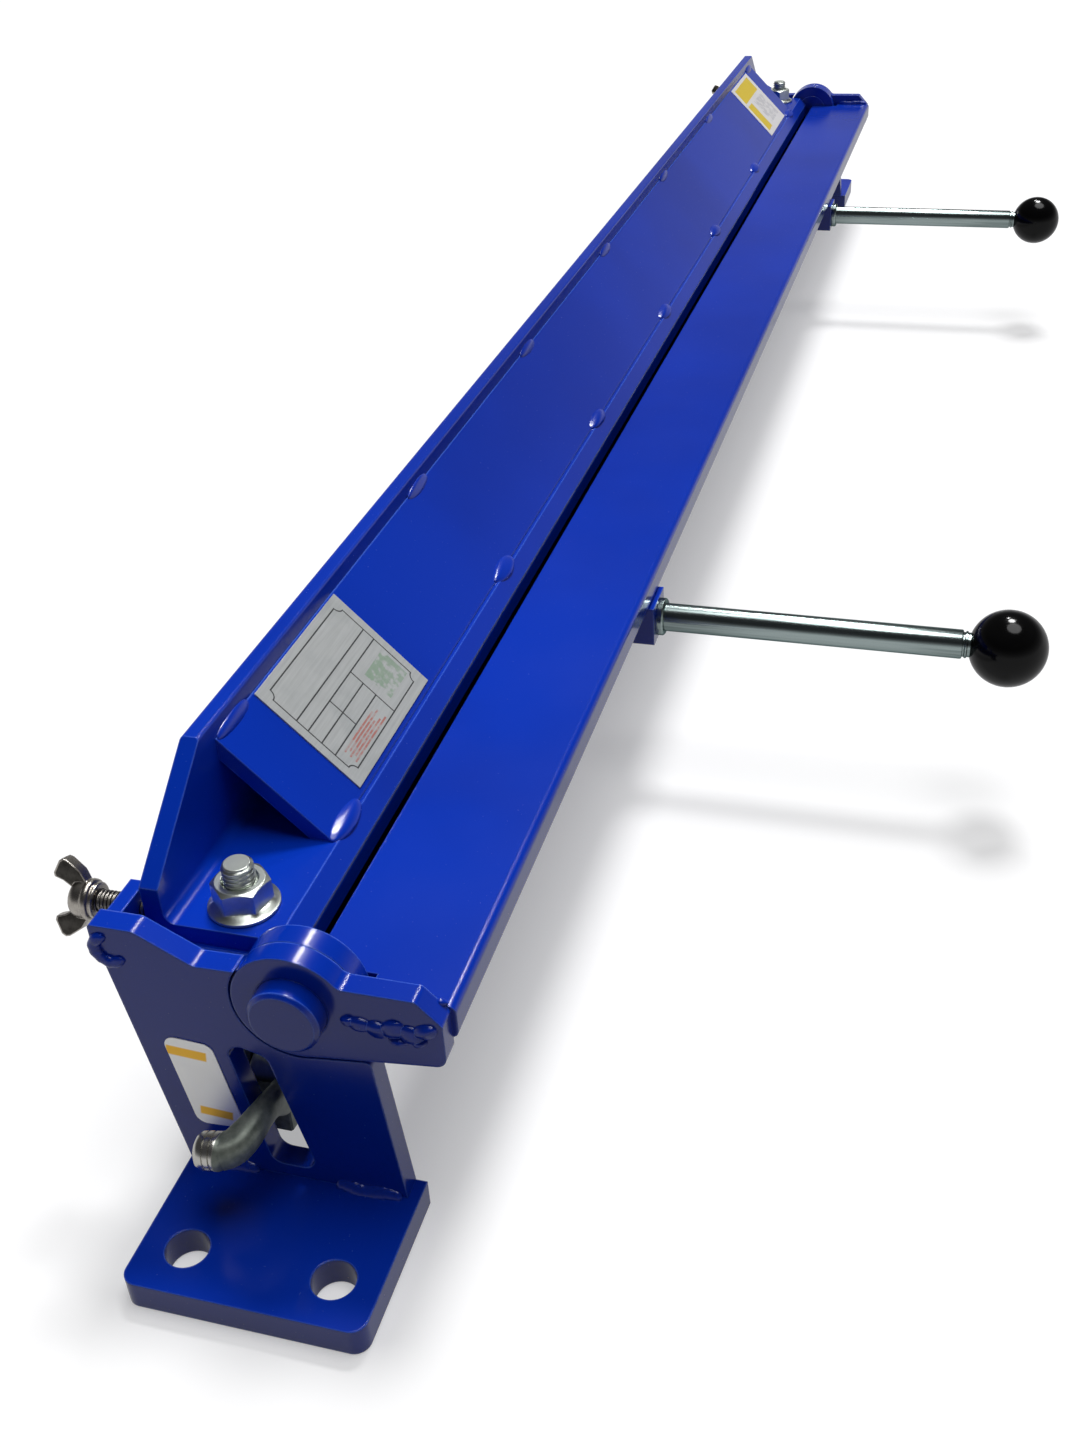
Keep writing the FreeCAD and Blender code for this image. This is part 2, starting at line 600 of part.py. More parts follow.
def clamp_stud():
    """Eye bolt: shank up through sleeve, bed and beam; eye round the cam pin."""
    shank = rod(STUD_R, STUD_TOP_Z - CAM_PIVOT_Z, vec(STUD_X, STUD_Y, CAM_PIVOT_Z), Z_AXIS)
    rim = [e for e in shank.Edges if e.Curve.TypeId == "Part::GeomCircle" and e.CenterOfMass.z > WORK_Z]
    shank = shank.makeChamfer(STUD_CHAMFER, rim)
    eye = rod(EYEBOLT_R, EYEBOLT_W, vec(STUD_X, STUD_Y - EYEBOLT_W / 2, CAM_PIVOT_Z), Y_AXIS)
    stud = shank.fuse(eye).removeSplitter()
    return stud.cut(rod(CAM_PIN_R, 2 * EYEBOLT_W, vec(STUD_X, STUD_Y - EYEBOLT_W, CAM_PIVOT_Z), Y_AXIS))


def cam_pin():
    half = EYEBOLT_W / 2 + CHEEK_GAP + CHEEK_T + 0.6
    return rod(CAM_PIN_R, 2 * half, vec(STUD_X, STUD_Y - half, CAM_PIVOT_Z), Y_AXIS)


def clamp_nut():
    """Hexagon nut with a pressed flange."""
    corner = NUT_AF / math.sqrt(3.0)
    points = []
    for i in range(6):
        a = math.radians(60 * i + NUT_TURN)
        points.append((STUD_X + corner * math.cos(a), STUD_Y + corner * math.sin(a), 0))
    body = prism_z(points, BEAM_LEG_Z, BEAM_LEG_Z + NUT_H)
    seat = vec(STUD_X, STUD_Y, BEAM_LEG_Z)
    skirt = Part.makeCone(NUT_FLANGE_R, NUT_SKIRT_R, NUT_SKIRT_T, seat + Z_AXIS * NUT_FLANGE_T, Z_AXIS)
    nut = body.fuse(skirt).fuse(rod(NUT_FLANGE_R, NUT_FLANGE_T, seat, Z_AXIS)).removeSplitter()
    return nut.cut(rod(STUD_R, 2 * NUT_H, seat - Z_AXIS, Z_AXIS))


def cheek(y0):
    """One side of the lever's fork: pivot boss and cam lobe."""
    a = math.radians(CAM_ANGLE)
    lobe_x = STUD_X + CAM_OFFSET * math.cos(a)
    lobe_z = CAM_PIVOT_Z + CAM_OFFSET * math.sin(a)
    lobe = rod(CAM_R, CHEEK_T, vec(lobe_x, y0, lobe_z), Y_AXIS)
    boss = rod(CHEEK_BOSS_R, CHEEK_T, vec(STUD_X, y0, CAM_PIVOT_Z), Y_AXIS)
    back = STUD_X + FORK_OUT
    web = [
        (STUD_X + CAM_PIN_R / 2, CAM_PIVOT_Z + 1.5 * FORK_LOW, 0), (back, CAM_PIVOT_Z + FORK_LOW, 0),
        (back, CAM_PIVOT_Z + FORK_HIGH, 0), (STUD_X + CAM_PIN_R / 2, CAM_PIVOT_Z + 1.24 * FORK_HIGH, 0),
    ]
    return lobe.fuse(boss).fuse(prism_y(web, y0, y0 + CHEEK_T))


def lever_arm():
    """Arm from the fork, up and out through the window, bent back to a thumb end along Y."""
    pivot = vec(STUD_X, STUD_Y, CAM_PIVOT_Z)
    centres = [pivot + vec(x, y, z) for x, y, z, _, _ in ARM_PATH]
    last = len(centres) - 1
    rings = []
    for i, (_, _, _, half_wide, half_high) in enumerate(ARM_PATH):
        forward = centres[min(i + 1, last)] - centres[max(i - 1, 0)]
        rings.append(ring_across(centres[i], forward, half_wide, half_high))
    return faceted_solid(rings)


def clamp_lever():
    """Cast fork with two cam lobes and an arm that passes out through the end plate's window."""
    front = STUD_Y - EYEBOLT_W / 2 - CHEEK_GAP - CHEEK_T
    rear = STUD_Y + EYEBOLT_W / 2 + CHEEK_GAP
    back = STUD_X + FORK_OUT
    bridge = block(back - FORK_BRIDGE_T, back, front + 1, rear + CHEEK_T - 1,
                   CAM_PIVOT_Z + FORK_LOW, CAM_PIVOT_Z + FORK_HIGH)
    lever = cheek(front).fuse(cheek(rear)).fuse(bridge).fuse(lever_arm())
    slot_y = front + CHEEK_T
    lever = lever.cut(rod(EYEBOLT_R + 0.35, rear - slot_y, vec(STUD_X, slot_y, CAM_PIVOT_Z), Y_AXIS))
    start = vec(STUD_X, STUD_Y - 2 * EYEBOLT_W, CAM_PIVOT_Z)
    return lever.cut(rod(CAM_PIN_R + PIN_RUNNING, 4 * EYEBOLT_W, start, Y_AXIS))


def wing_screw(turn):
    """Thumb screw along Y: plain-ended shank, collar and two wings at the given turn."""
    tip = vec(SCREW_X, BEAM_REAR_Y, SCREW_Z)
    screw = rod(SCREW_R, SCREW_LEN, tip, Y_AXIS)
    screw = screw.fuse(rod(COLLAR_R, COLLAR_T, tip + Y_AXIS * COLLAR_OUT, Y_AXIS))
    half = WING_SPAN / 2
    root = BEAM_REAR_Y + COLLAR_OUT + 0.3 * COLLAR_T
    top = BEAM_REAR_Y + SCREW_LEN + WING_TALL
    for side in (-1, 1):
        profile = [
            (side * SCREW_R, root, 0), (side * 0.6 * half, root + 0.15 * WING_TALL, 0),
            (side * half, root + 0.5 * WING_TALL, CORNER_R / 2), (side * 0.8 * half, top, CORNER_R / 2),
            (side * 0.45 * half, top - 0.2 * WING_TALL, 0), (side * SCREW_R, root + 0.4 * WING_TALL, 0),
        ]
        wire = rounded_outline(profile, lambda a, b: vec(SCREW_X - WING_T / 2, b, SCREW_Z + a))
        screw = screw.fuse(Part.Face(wire).extrude(vec(WING_T, 0, 0)))
    screw = screw.removeSplitter()
    screw.rotate(tip, Y_AXIS, turn)
    return screw


def save(name, shape):
    if not shape.isValid():
        print("invalid:", name)
    shape.exportStep("parts/" + name + ".step")
    print(name, len(shape.Solids), round(shape.Volume, 1))


def main():
    os.makedirs("parts", exist_ok=True)
    paired = {
        "end_plate": end_plate(), "foot_plate": foot_plate(), "hinge_lug": hinge_lug(),
        "hinge_pin": hinge_pin(), "thrust_sleeve": thrust_sleeve(), "adjuster_lug": adjuster_lug(),
        "frame_welds": frame_welds(), "leaf_arm": leaf_arm(), "leaf_weld": leaf_weld(),
        "handle_block": handle_block(), "handle_rod": handle_rod(), "handle_knob": handle_knob(),
        "clamp_stud": clamp_stud(), "cam_pin": cam_pin(), "clamp_nut": clamp_nut(),
        "clamp_lever": clamp_lever(),
    }
    for name, shape in paired.items():
        save("right_" + name, shape)
        save("left_" + name, mirrored(shape))
    save("right_wing_screw", wing_screw(RIGHT_SCREW_TURN))
    save("left_wing_screw", mirrored(wing_screw(LEFT_SCREW_TURN)))
    save("bed_angle", bed_angle())
    save("leaf_bar", leaf_bar())
    save("clamp_beam", clamp_beam())
    save("brace_plate", brace_plate())
    save("brace_stitches", brace_stitches())
    plate_x = PLATE_GAP - BRACE_X
    save("rating_plate", on_brace(plate_x, plate_x + PLATE_LEN, PLATE_THICK))
    label_x = BRACE_X - LABEL_GAP
    save("beam_label", on_brace(label_x - LABEL_LEN, label_x, FILM_THICK))
    save("side_label", side_label())


main()
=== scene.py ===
"""Looks of a bench-top sheet metal brake: enamelled steel, zinc fasteners, cast levers and black balls."""

import functools
import json
import logging
import math
import operator
import random
from dataclasses import dataclass
from enum import Enum
from typing import Any, Iterable, Sequence

import bmesh
import bpy
from mathutils import Matrix, Vector

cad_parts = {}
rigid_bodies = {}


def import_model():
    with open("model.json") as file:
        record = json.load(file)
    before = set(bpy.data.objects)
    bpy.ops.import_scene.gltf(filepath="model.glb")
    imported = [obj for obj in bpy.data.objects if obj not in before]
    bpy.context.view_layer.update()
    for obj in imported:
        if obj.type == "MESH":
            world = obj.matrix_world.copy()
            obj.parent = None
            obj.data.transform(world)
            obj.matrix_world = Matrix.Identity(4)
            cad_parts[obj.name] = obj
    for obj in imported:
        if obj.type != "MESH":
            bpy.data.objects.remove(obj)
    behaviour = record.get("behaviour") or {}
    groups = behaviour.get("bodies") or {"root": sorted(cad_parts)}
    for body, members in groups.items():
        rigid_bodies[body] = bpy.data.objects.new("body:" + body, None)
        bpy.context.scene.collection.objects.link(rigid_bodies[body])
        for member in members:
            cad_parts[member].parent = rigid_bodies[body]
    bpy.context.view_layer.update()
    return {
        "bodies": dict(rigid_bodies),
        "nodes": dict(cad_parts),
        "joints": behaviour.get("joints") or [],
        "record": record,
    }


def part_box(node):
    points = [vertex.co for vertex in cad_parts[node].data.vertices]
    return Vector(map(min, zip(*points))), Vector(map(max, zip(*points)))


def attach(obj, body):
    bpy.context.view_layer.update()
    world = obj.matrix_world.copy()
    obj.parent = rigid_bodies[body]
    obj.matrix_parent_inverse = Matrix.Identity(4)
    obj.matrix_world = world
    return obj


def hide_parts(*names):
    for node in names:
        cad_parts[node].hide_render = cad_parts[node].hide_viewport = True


LOG = logging.getLogger("brake")
MM = 0.001
# How far the faces of rating plate and beam label reach along Y, in millimetres
PRINT_RUN = 26.2
# Radius that a turned piece has where it ends in a point
POINT_R = 0.01
Triple = tuple[float, float, float]
Stops = Sequence[tuple[float, Triple]]
EVEN: Triple = (1.0, 1.0, 1.0)


class Side(Enum):
    """The two ends of the brake, by the sign of X."""

    LEFT = -1
    RIGHT = 1

    @property
    def prefix(self) -> str:
        """Start of the node names at this end."""
        return "left_" if self is Side.LEFT else "right_"

    def node(self, name: str) -> str:
        """Full node name at this end."""
        return self.prefix + name


@dataclass(frozen=True)
class Extent:
    """Where a node of the frame lies at rest, in millimetres."""

    low: Vector
    high: Vector

    @classmethod
    def of(cls, node: str) -> "Extent":
        """Reads a node's lowest and highest corner from the frame."""
        low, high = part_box(node)
        return cls(low / MM, high / MM)

    @property
    def middle(self) -> Vector:
        """Midway between the two corners."""
        return (self.low + self.high) / 2


# Shader expressions

class Wire:
    """One output socket of a node tree, with arithmetic that adds nodes."""

    def __init__(self, graph: "Graph", socket: bpy.types.NodeSocket) -> None:
        """Wraps a socket.

        Args:
            graph: the tree that new nodes are added to.
            socket: the output that this value stands for.
        """
        self.graph = graph
        self.socket = socket

    @property
    def flat(self) -> bool:
        """True where the value is a single number."""
        return self.socket.type == "VALUE"

    def _join(self, operation: str, first: Any, second: Any) -> "Wire":
        """Adds one Math or Vector Math node.

        Args:
            operation: the node's operation.
            first: a Wire, a number or a triple.
            second: a Wire, a number or a triple.

        Returns:
            The node's result.
        """
        scalar = all(not isinstance(v, Wire) or v.flat for v in (first, second))
        if scalar:
            return self.graph.node("ShaderNodeMath", {"operation": operation}, {0: first, 1: second})
        pair = [(v, v, v) if isinstance(v, (int, float)) else v for v in (first, second)]
        return self.graph.node("ShaderNodeVectorMath", {"operation": operation}, {0: pair[0], 1: pair[1]})

    def __add__(self, other: Any) -> "Wire":
        """Sum."""
        return self._join("ADD", self, other)

    def __radd__(self, other: Any) -> "Wire":
        """Sum, reflected."""
        return self._join("ADD", other, self)

    def __sub__(self, other: Any) -> "Wire":
        """Difference."""
        return self._join("SUBTRACT", self, other)

    def __rsub__(self, other: Any) -> "Wire":
        """Difference, reflected."""
        return self._join("SUBTRACT", other, self)

    def __mul__(self, other: Any) -> "Wire":
        """Product."""
        return self._join("MULTIPLY", self, other)

    def __rmul__(self, other: Any) -> "Wire":
        """Product, reflected."""
        return self._join("MULTIPLY", other, self)

    def __truediv__(self, other: Any) -> "Wire":
        """Quotient."""
        return self._join("DIVIDE", self, other)

    def __rtruediv__(self, other: Any) -> "Wire":
        """Quotient, reflected."""
        return self._join("DIVIDE", other, self)

    def __gt__(self, other: Any) -> "Wire":
        """1 where this is the larger, else 0."""
        return self._join("GREATER_THAN", self, other)

    def __lt__(self, other: Any) -> "Wire":
        """1 where this is the smaller, else 0."""
        return self._join("LESS_THAN", self, other)

    def __or__(self, other: "Wire") -> "Wire":
        """The larger of two masks."""
        return self._join("MAXIMUM", self, other)

    def __abs__(self) -> "Wire":
        """Size without sign."""
        return self.graph.node("ShaderNodeMath", {"operation": "ABSOLUTE"}, {0: self})

    def between(self, low: float, high: float) -> "Wire":
        """1 between two values, else 0."""
        return (self > low) * (self < high)

    def fade(self, low: float, high: float) -> "Wire":
        """Smooth rise from 0 at low to 1 at high."""
        return self.graph.node(
            "ShaderNodeMapRange", {"interpolation_type": "SMOOTHSTEP"},
            {"Value": self, "From Min": low, "From Max": high})


def any_of(masks: Iterable[Wire]) -> Wire:
    """1 where at least one of the masks is."""
    return functools.reduce(operator.or_, masks)


class Graph:
    """The node tree of a material or world, built by expressions."""

    def __init__(self, owner: bpy.types.Material | bpy.types.World) -> None:
        """Empties the owner's tree.

        Args:
            owner: the material or world that is built.
        """
        owner.use_nodes = True
        self.owner = owner
        self.tree = owner.node_tree
        self.tree.nodes.clear()
        self._place: Wire | None = None

    @classmethod
    def material(cls, name: str) -> "Graph":
        """Starts a new material."""
        return cls(bpy.data.materials.new(name))

    def node(self, kind: str, settings: dict[str, Any] | None = None,
             inputs: dict[Any, Any] | None = None, out: Any = 0) -> Wire:
        """Adds one node.

        Args:
            kind: the node's type name.
            settings: its properties, set first; "stops" fills a colour ramp.
            inputs: a value or Wire for each named or numbered socket.
            out: which output to return.

        Returns:
            The chosen output.
        """
        made = self.tree.nodes.new(kind)
        for key, value in (settings or {}).items():
            if key == "stops":
                self._fill_ramp(made.color_ramp, value)
            else:
                setattr(made, key, value)
        for key, value in (inputs or {}).items():
            if isinstance(value, Wire):
                self.tree.links.new(value.socket, made.inputs[key])
            else:
                made.inputs[key].default_value = value
        return Wire(self, made.outputs[out] if made.outputs else made.inputs[0])

    @staticmethod
    def _fill_ramp(ramp: bpy.types.ColorRamp, stops: Stops) -> None:
        """Sets a ramp's stops.

        Args:
            ramp: the ramp to fill.
            stops: position and colour of each stop.
        """
        while len(ramp.elements) < len(stops):
            ramp.elements.new(0.5)
        for element, (position, colour) in zip(ramp.elements, stops):
            element.position = position
            element.color = (*colour, 1.0)

    @property
    def place(self) -> Wire:
        """Position on the part at rest, in metres."""
        if self._place is None:
            self._place = self.node("ShaderNodeTexCoord", out="Object")
        return self._place

    def axes(self) -> tuple[Wire, Wire, Wire]:
        """The position's X, Y and Z in millimetres."""
        split = self.node("ShaderNodeSeparateXYZ", {}, {0: self.place * (1 / MM)}).socket.node
        return (Wire(self, split.outputs[0]), Wire(self, split.outputs[1]), Wire(self, split.outputs[2]))

    def rays(self, *kinds: str) -> Wire:
        """1 for rays of the named kinds, else 0."""
        return any_of(self.node("ShaderNodeLightPath", out=f"Is {kind} Ray") for kind in kinds)

    def noise(self, scale: float, detail: float = 2.0, rough: float = 0.5, stretch: Triple = EVEN) -> Wire:
        """Soft noise between 0 and 1.

        Args:
            scale: features for each metre.
            detail: octaves.
            rough: how much the fine octaves count.
            stretch: factor on each axis.

        Returns:
            The noise value.
        """
        where = self.place if stretch == EVEN else self.place * stretch
        return self.node("ShaderNodeTexNoise", {}, {
            "Vector": where, "Scale": scale, "Detail": detail, "Roughness": rough})

    def mix(self, factor: Any, first: Any, second: Any) -> Wire:
        """Colour mix.

        Args:
            factor: 0 gives first, 1 gives second.
            first: colour triple or Wire.
            second: colour triple or Wire.

        Returns:
            The mixed colour.
        """
        ends = [v if isinstance(v, Wire) else (*v, 1.0) for v in (first, second)]
        return self.node("ShaderNodeMix", {"data_type": "RGBA"}, {0: factor, 6: ends[0], 7: ends[1]}, 2)

    def ramp(self, factor: Wire, stops: Stops) -> Wire:
        """Colour ramp over a value."""
        return self.node("ShaderNodeValToRGB", {"stops": stops}, {"Fac": factor})

    def soft_edges(self, radius_mm: float) -> Wire:
        """Normal with edges rounded by the given radius."""
        return self.node("ShaderNodeBevel", {"samples": 4}, {"Radius": radius_mm * MM})

    def edge_wear_and_sheen(self, radius_mm: float) -> Wire:
        """Mask of edges: rubbed wear on castings, a painted highlight on enamel.

        Args:
            radius_mm: how wide the band is.

        Returns:
            1 on edges that this radius would round, 0 on flat faces.
        """
        facing = self.node("ShaderNodeNewGeometry", out="Normal")
        lean = self.node("ShaderNodeVectorMath", {"operation": "DOT_PRODUCT"},
                         {0: self.soft_edges(radius_mm), 1: facing}, "Value")
        return (1.0 - lean).fade(0.004, 0.09)

    def bump(self, height: Wire, depth_mm: float, strength: float = 1.0, normal: Wire | None = None) -> Wire:
        """Normal roughened by a height.

        Args:
            height: 0 to 1.
            depth_mm: how deep a height of 1 stands.
            strength: share of the effect.
            normal: normal to start from.

        Returns:
            The new normal.
        """
        inputs: dict[Any, Any] = {"Height": height, "Distance": depth_mm * MM, "Strength": strength}
        if normal is not None:
            inputs["Normal"] = normal
        return self.node("ShaderNodeBump", {}, inputs)

    def surface(self, inputs: dict[str, Any], matt: Wire | None = None,
                under: Wire | None = None) -> bpy.types.Material:
        """Ends the tree in one Principled shader, or in two that are mixed.

        Args:
            inputs: values and links of the shader's sockets.
            matt: where the surface has no sheen, 0 to 1; the enamel uses it for painted shade in a gap.
            under: the colour there.

        Returns:
            The finished material.
        """
        ready = {k: (*v, 1.0) if isinstance(v, tuple) else v for k, v in inputs.items()}
        shader = self.node("ShaderNodeBsdfPrincipled", {}, ready)
        if matt is not None:
            # The second shader has no sheen: painted shade where matt is.
            sheenless_shade = self.node("ShaderNodeBsdfPrincipled", {}, {
                "Base Color": under, "Roughness": 1.0, "Specular IOR Level": 0.0})
            shader = self.node("ShaderNodeMixShader", {}, {0: matt, 1: shader, 2: sheenless_shade})
        self.node("ShaderNodeOutputMaterial", {}, {"Surface": shader})
        return self.owner


# Finishes

@dataclass(frozen=True)
class Enamel:
    """Thick glossy blue enamel over mill-finished steel.

    Its edges carry a painted highlight, a paler blue. A bar whose front borders a gap has painted shade
    there:
    no sheen, and near black in part of it. Where that starts and ends is given by the depth below the bar's
    top.
    """

    name: str = "blue_enamel"
    deep: Triple = (0.0004, 0.026, 0.36)
    bright: Triple = (0.0006, 0.034, 0.45)
    gloss: float = 0.14
    edge_mm: float = 0.8
    peel_mm: float = 0.035
    gap: Extent | None = None
    shade_to_mm: float = 10.0
    shadow_from_mm: float = 5.4
    shadow_to_mm: float = 9.0

    def material(self) -> bpy.types.Material:
        """Builds the enamel.

        Returns:
            The material.
        """
        g = Graph.material(self.name)
        cloud = g.noise(9.0, 3.0)
        peel = g.noise(420.0, 2.0, 0.4)
        swell = g.noise(55.0, 1.0)
        specks = g.noise(1300.0, 1.0).fade(0.74, 0.8)
        colour = g.mix(cloud.fade(0.3, 0.7), self.deep, self.bright)
        colour = g.mix(specks * 0.25, colour, (0.03, 0.06, 0.4))
        # Painted highlight: the edges are lightened towards a pale bright blue.
        colour = g.mix(g.edge_wear_and_sheen(0.8 * self.edge_mm) * 0.7, colour, (0.09, 0.22, 0.95))
        rough = self.gloss + 0.08 * g.noise(24.0, 3.0) + 0.12 * specks
        relief = peel * 0.35 + swell
        normal = g.bump(relief, self.peel_mm, 0.55, g.soft_edges(self.edge_mm))
        inputs = {"Base Color": colour, "Roughness": rough, "Specular IOR Level": 0.5, "Normal": normal}
        if self.gap is None:
            return g.surface(inputs)
        _, y, z = g.axes()
        # Painted shade in the gap before the leaf: the front below the top loses its sheen, and a band of it
        # is painted near black.
        depth = self.gap.high.z - z
        dull = (y < self.gap.low.y + 1.0) * depth.fade(self.shade_to_mm + 5.0, self.shade_to_mm)
        gap_shadow = depth.fade(self.shadow_from_mm, self.shadow_from_mm + 0.4)
        gap_shadow = gap_shadow * depth.fade(self.shadow_to_mm + 3.0, self.shadow_to_mm)
        return g.surface(inputs, dull, g.mix(gap_shadow, colour, (0.0005, 0.0005, 0.003)))


@dataclass(frozen=True)
class Zinc:
    """Bright zinc plate with a faint green cast."""

    name: str = "zinc_plate"
    light: Triple = (0.68, 0.72, 0.67)
    dull: Triple = (0.5, 0.54, 0.49)
    rough: float = 0.16
    stretch: Triple = EVEN
    rim: Triple = EVEN

    def material(self) -> bpy.types.Material:
        """Builds the plated metal.

        Returns:
            The material.
        """
        g = Graph.material(self.name)
        stain = g.noise(120.0, 4.0, 0.6, self.stretch)
        grain = g.noise(900.0, 2.0, 0.6, self.stretch)
        colour = g.mix(stain.fade(0.35, 0.75), self.light, self.dull)
        rough = self.rough + 0.1 * stain + 0.04 * grain
        normal = g.bump(grain * 0.3 + stain, 0.008, 0.5, g.soft_edges(0.25))
        return g.surface({
            "Base Color": colour, "Metallic": 1.0, "Roughness": rough, "Specular Tint": self.rim,
            "Normal": normal})


@dataclass(frozen=True)
class BallPlastic:
    """Polished black moulding with a faint mould bloom."""

    name: str = "black_ball"

    def material(self) -> bpy.types.Material:
        """Builds the moulding.

        Returns:
            The material.
        """
        g = Graph.material(self.name)
        bloom = g.noise(180.0, 3.0)
        colour = g.mix(bloom, (0.002, 0.002, 0.002), (0.005, 0.005, 0.005))
        normal = g.bump(g.noise(90.0, 1.0), 0.03, 0.25)
        rough = 0.1 + 0.07 * bloom
        return g.surface({
            "Base Color": colour, "Roughness": rough, "Specular IOR Level": 0.2, "Normal": normal})


@dataclass(frozen=True)
class Burnished:
    """Dark burnished steel casting with rubbed high spots."""

    name: str = "burnished_steel"
    light: Triple = (0.085, 0.08, 0.072)
    dark: Triple = (0.04, 0.037, 0.033)
    rough: float = 0.3

    def material(self) -> bpy.types.Material:
        """Builds the casting.

        Returns:
            The material.
        """
        g = Graph.material(self.name)
        cast = g.noise(500.0, 3.0, 0.6)
        rub = g.edge_wear_and_sheen(0.5)
        colour = g.mix(cast.fade(0.3, 0.8), self.light, self.dark)
        colour = g.mix(rub * 0.9, colour, (0.72, 0.68, 0.62))
        normal = g.bump(cast, 0.05, 0.5, g.soft_edges(0.4))
        return g.surface({
            "Base Color": colour, "Metallic": 1.0, "Roughness": self.rough + 0.16 * cast, "Normal": normal})


@dataclass(frozen=True)
class LeverCasting:
    """Grey-green cast lever whose thumb end is polished."""

    polish_from_mm: float
    outside_mm: float
    name: str = "lever_casting"

    def material(self) -> bpy.types.Material:
        """Builds the casting.

        Returns:
            The material.
        """
        g = Graph.material(self.name)
        x, y, _ = g.axes()
        cast = g.noise(380.0, 4.0, 0.6)
        polish = y.fade(self.polish_from_mm, self.polish_from_mm + 0.4) * (abs(x) > self.outside_mm)
        raw = g.mix(cast.fade(0.3, 0.75), (0.15, 0.175, 0.15), (0.27, 0.3, 0.26))
        colour = g.mix(polish, raw, (0.62, 0.61, 0.57))
        rough = 0.42 - 0.24 * polish + 0.1 * cast
        normal = g.bump(cast, 0.07, 0.5)
        return g.surface({
            "Base Color": colour, "Metallic": 0.5 + 0.45 * polish, "Roughness": rough, "Normal": normal})


@dataclass(frozen=True)
class PrintedFoil:
    """Silver foil with a ruled frame and empty fields, laid on the slanting brace."""

    where: Extent
    name: str = "printed_foil"
    line_mm: float = 0.42
    margin_mm: float = 3.0
    hollow_mm: float = 2.2
    strokes: int = 5

    def material(self) -> bpy.types.Material:
        """Builds the foil and its ruled lines.

        Returns:
            The material.
        """
        g = Graph.material(self.name)
        x, y, _ = g.axes()
        length = self.where.high.x - self.where.low.x
        width = PRINT_RUN * math.sqrt(2.0)
        u = x - self.where.low.x
        v = (y - (self.where.high.y - PRINT_RUN)) * math.sqrt(2.0)
        ink = self._ruling(g, u, v, length, width)
        brushed = g.noise(260.0, 3.0, 0.6, (0.25, 6.0, 6.0))
        smear = g.noise(70.0, 3.0)
        worn = g.noise(420.0, 2.0).fade(0.36, 0.56)
        green = u.between(0.67 * length, 0.92 * length) * v.between(0.16 * width, 0.43 * width) * worn
        lines = []
        for k in range(self.strokes):
            level = (0.115 + 0.027 * k) * width + 0.5 * (smear - 0.5)
            start = (0.12 + 0.03 * (k % 2)) * length
            end = (0.53 - 0.04 * (k % 3)) * length
            lines.append((v - level).between(-0.3, 0.3) * u.between(start, end))
        metal = g.mix(brushed, (0.5, 0.52, 0.51), (0.72, 0.74, 0.73))
        metal = g.mix(smear.fade(0.45, 0.75) * 0.35, metal, (0.36, 0.39, 0.39))
        colour = g.mix(green * (0.25 + 0.35 * smear), metal, (0.09, 0.34, 0.09))
        colour = g.mix(any_of(lines) * (0.25 + 0.5 * worn), colour, (0.6, 0.14, 0.1))
        colour = g.mix(ink * 0.93, colour, (0.008, 0.008, 0.01))
        normal = g.bump(brushed, 0.02, 0.4, g.soft_edges(0.15))
        return g.surface({
            "Base Color": colour, "Metallic": 0.4 - 0.4 * ink, "Roughness": 0.34 + 0.14 * smear,
            "Normal": normal})

    def _ruling(self, g: Graph, u: Wire, v: Wire, length: float, width: float) -> Wire:
        """Draws the frame with hollow corners and the lines between its fields.

        Args:
            g: the foil's tree.
            u: place along the foil, from its end.
            v: place across the foil, from its lower edge.
            length: the foil's length.
            width: the foil's width.

        Returns:
            1 on the lines.
        """
        half = self.line_mm / 2
        hollow = self.hollow_mm
        left = self.margin_mm
        right = length - self.margin_mm
        low = self.margin_mm
        high = width - self.margin_mm
        strip_low = 0.53 * width
        strip_high = 0.64 * width
        divide = 0.61 * length

        def along(at: float, start: float, end: float) -> Wire:
            """Line at height v = at."""
            return v.between(at - half, at + half) * u.between(start - half, end + half)

        def across(at: float, start: float, end: float) -> Wire:
            """Line at u = at."""
            return u.between(at - half, at + half) * v.between(start - half, end + half)

        def corner(cx: float, cy: float) -> Wire:
            """Quarter ring that hollows the frame's corner."""
            du = u - cx
            dv = v - cy
            away = g.node("ShaderNodeMath", {"operation": "SQRT"}, {0: du * du + dv * dv})
            return away.between(hollow - half, hollow + half) * u.between(left, right) * v.between(low, high)

        lines = [along(level, left + hollow, right - hollow) for level in (high, low)]
        lines += [across(end, low + hollow, high - hollow) for end in (left, right)]
        lines += [along(level, left, right) for level in (strip_low, strip_high)]
        lines += [along(level * width, left, divide) for level in (0.4, 0.27)]
        lines += [across(divide, low, strip_low), across(0.33 * length, 0.27 * width, strip_low)]
        lines += [corner(cx, cy) for cx in (left, right) for cy in (low, high)]
        return any_of(lines)


